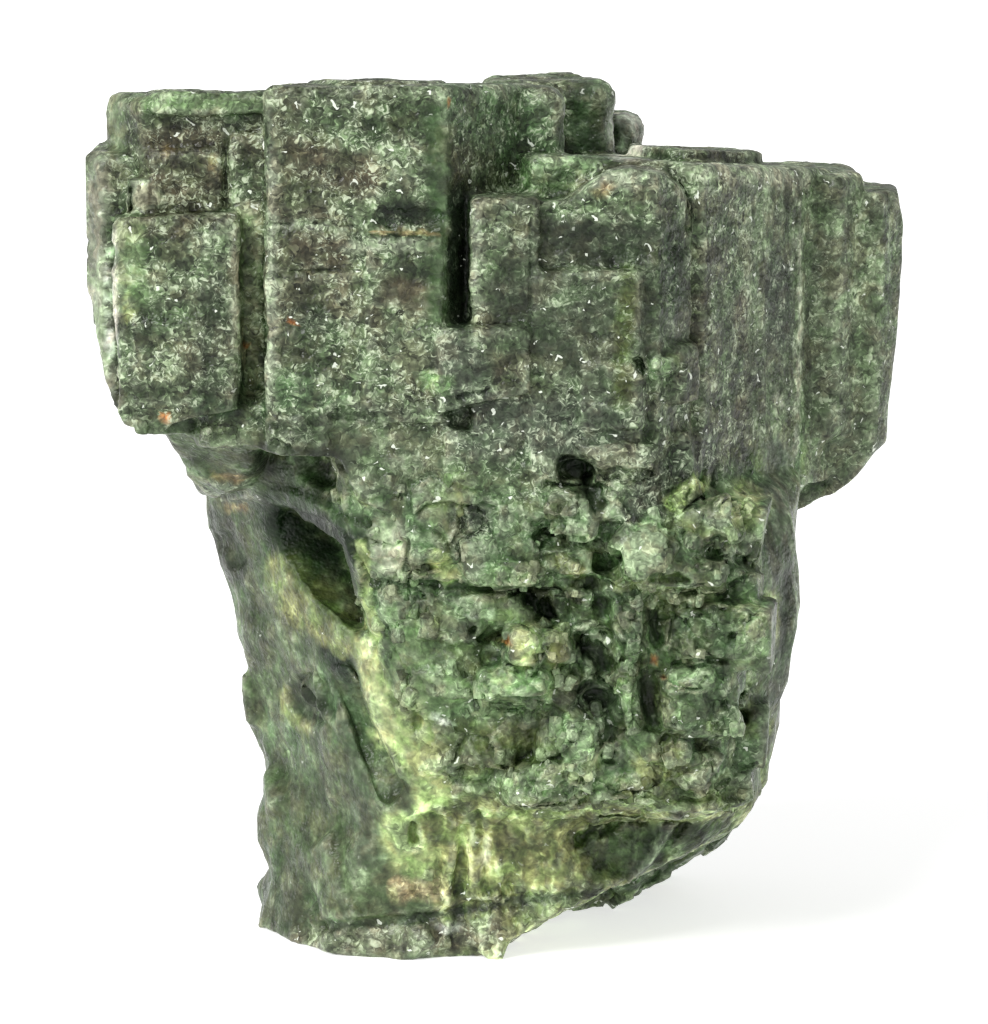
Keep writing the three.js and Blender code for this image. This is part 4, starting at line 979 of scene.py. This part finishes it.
# The small crystals: worn blocks of the same stone that stand loose in the crumbled front. Each is a
# short prism with its corners dissolved away, cut from a ball by its sides, its two ends and a few odd
# faces. It is half sunk in the skin, and has a shade of its own.
GRAINS = 420
CLUMP_SIZE, CLUMP_EDGE = 0.8, (-0.2, 0.3)
LEAST_OPEN, MOST_CALM = 0.3, 0.66
GRAIN_SIZES, SHRUNK = (0.08, 0.22), (0.5, 1)
GRAIN_SIDES, ODD_FACES, FACES_CUT = 6, 3, (0.6, 0.85)
LEAST_STRETCH, MOST_STRETCH = (0.9, 0.8, 0.9), (1.2, 1.1, 1.7)
SUNK = 0.4
MOST_TILT = 0.7
SHADES = (0.6, 1.5)
GRAIN_CALM, GRAIN_STRIPES = 0.55, 0.2

chance = np.random.default_rng(11)
clumps = step(*CLUMP_EDGE, waves(points, CLUMP_SIZE, shift=160))
likely = crust * seen * (free > LEAST_OPEN) * (calm < MOST_CALM) * clumps
seats = chance.choice(len(points), GRAINS, replace=False, p=likely / likely.sum())
ball = bmesh.new()
bmesh.ops.create_icosphere(ball, subdivisions=3, radius=1)
ball_points = np.array([tuple(v.co) for v in ball.verts])
ball_faces = np.array([[v.index for v in f.verts] for f in ball.faces])
ball.free()
turns = np.arange(GRAIN_SIDES) * math.tau / GRAIN_SIDES
prism = [*[(math.cos(turn), math.sin(turn), 0) for turn in turns], (0, 0, 1), (0, 0, -1)]
grain_points, grain_faces, grain_tones = [], [], []
for at in seats:
    block = ball_points.copy()
    for side in [*prism, *chance.normal(size=(ODD_FACES, 3))]:
        side = np.array(side) / np.linalg.norm(side)
        block -= (block @ side - chance.uniform(*FACES_CUT)).clip(0)[:, None] * side
    size = chance.uniform(*GRAIN_SIZES) * chance.uniform(*SHRUNK)
    block *= size * chance.uniform(LEAST_STRETCH, MOST_STRETCH)
    tilt = Matrix.Rotation(chance.uniform(0, MOST_TILT), 3, Vector(chance.normal(size=3)))
    spin = Matrix.Rotation(chance.uniform(0, math.tau), 3, "Z")
    block = block @ np.array(tilt @ spin).T + points[at] - SUNK * size * facing[at]
    if (block < box_low).any():
        continue
    grain_faces.append(ball_faces + len(grain_points) * len(ball_points))
    grain_points.append(block)
    shade = math.exp(chance.uniform(*np.log(SHADES)))
    # Each takes the skin's tone where it sits, painted shade and highlights included, times a brightness
    # of its own
    grain_tones.append(np.tile(tone[at] * shade, (len(ball_points), 1)))
grain_points = np.concatenate(grain_points)
grain_mesh = bpy.data.meshes.new("small_crystals")
grain_mesh.from_pydata((grain_points * MM).tolist(), [], np.concatenate(grain_faces).tolist())
same = np.ones(len(grain_points))
laid_on(grain_mesh, np.concatenate(grain_tones), GRAIN_CALM * same, GRAIN_STRIPES * same)
grain_mesh.materials.append(finish)
small_crystals = placed("small_crystals", grain_mesh)
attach(small_crystals, "root")
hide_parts("tourmaline_crystal")

# The floor: a sheet of matt white board that the crystal stands on, far wider than the view. It is one
# flat square, and it glows a little, so that it is nearly as white as the photograph's ground.
FLOOR_HALF = 900 * MM
FLOOR_GLOW = 0.66
BOARD, BOARD_ROUGHNESS = (0.72, 0.72, 0.72, 1), 0.9
WHITE = (1, 1, 1, 1)

corners = [(x * FLOOR_HALF, y * FLOOR_HALF, 0) for x, y in ((-1, -1), (1, -1), (1, 1), (-1, 1))]
floor_mesh = bpy.data.meshes.new("floor")
floor_mesh.from_pydata(corners, [], [(0, 1, 2, 3)])
floor = placed("floor", floor_mesh)
board = bpy.data.materials.new("white_board")
board.use_nodes = True
for name, value in (
    ("Base Color", BOARD),
    ("Roughness", BOARD_ROUGHNESS),
    ("Emission Color", WHITE),
    ("Emission Strength", FLOOR_GLOW),
):
    board.node_tree.nodes["Principled BSDF"].inputs[name].default_value = value
floor.data.materials.append(board)

# The light: a tent of white cloth all round, which is the world's even glow, and a wide soft lamp from
# the front, high at the left
TENT = 0.5
LAMP, LAMP_WIDTH = 3.2, math.radians(30)
LAMP_FROM = Vector((-0.55, -0.65, 0.7))

world = bpy.data.worlds.new("tent")
world.use_nodes = True
world.node_tree.nodes["Background"].inputs["Color"].default_value = WHITE
world.node_tree.nodes["Background"].inputs["Strength"].default_value = TENT
bpy.context.scene.world = world
lamp = placed("lamp", bpy.data.lights.new("lamp", "SUN"))
lamp.data.energy = LAMP
lamp.data.angle = LAMP_WIDTH
lamp.rotation_euler = LAMP_FROM.to_track_quat("Z", "Y").to_euler()
bpy.context.scene.view_settings.view_transform = "Standard"
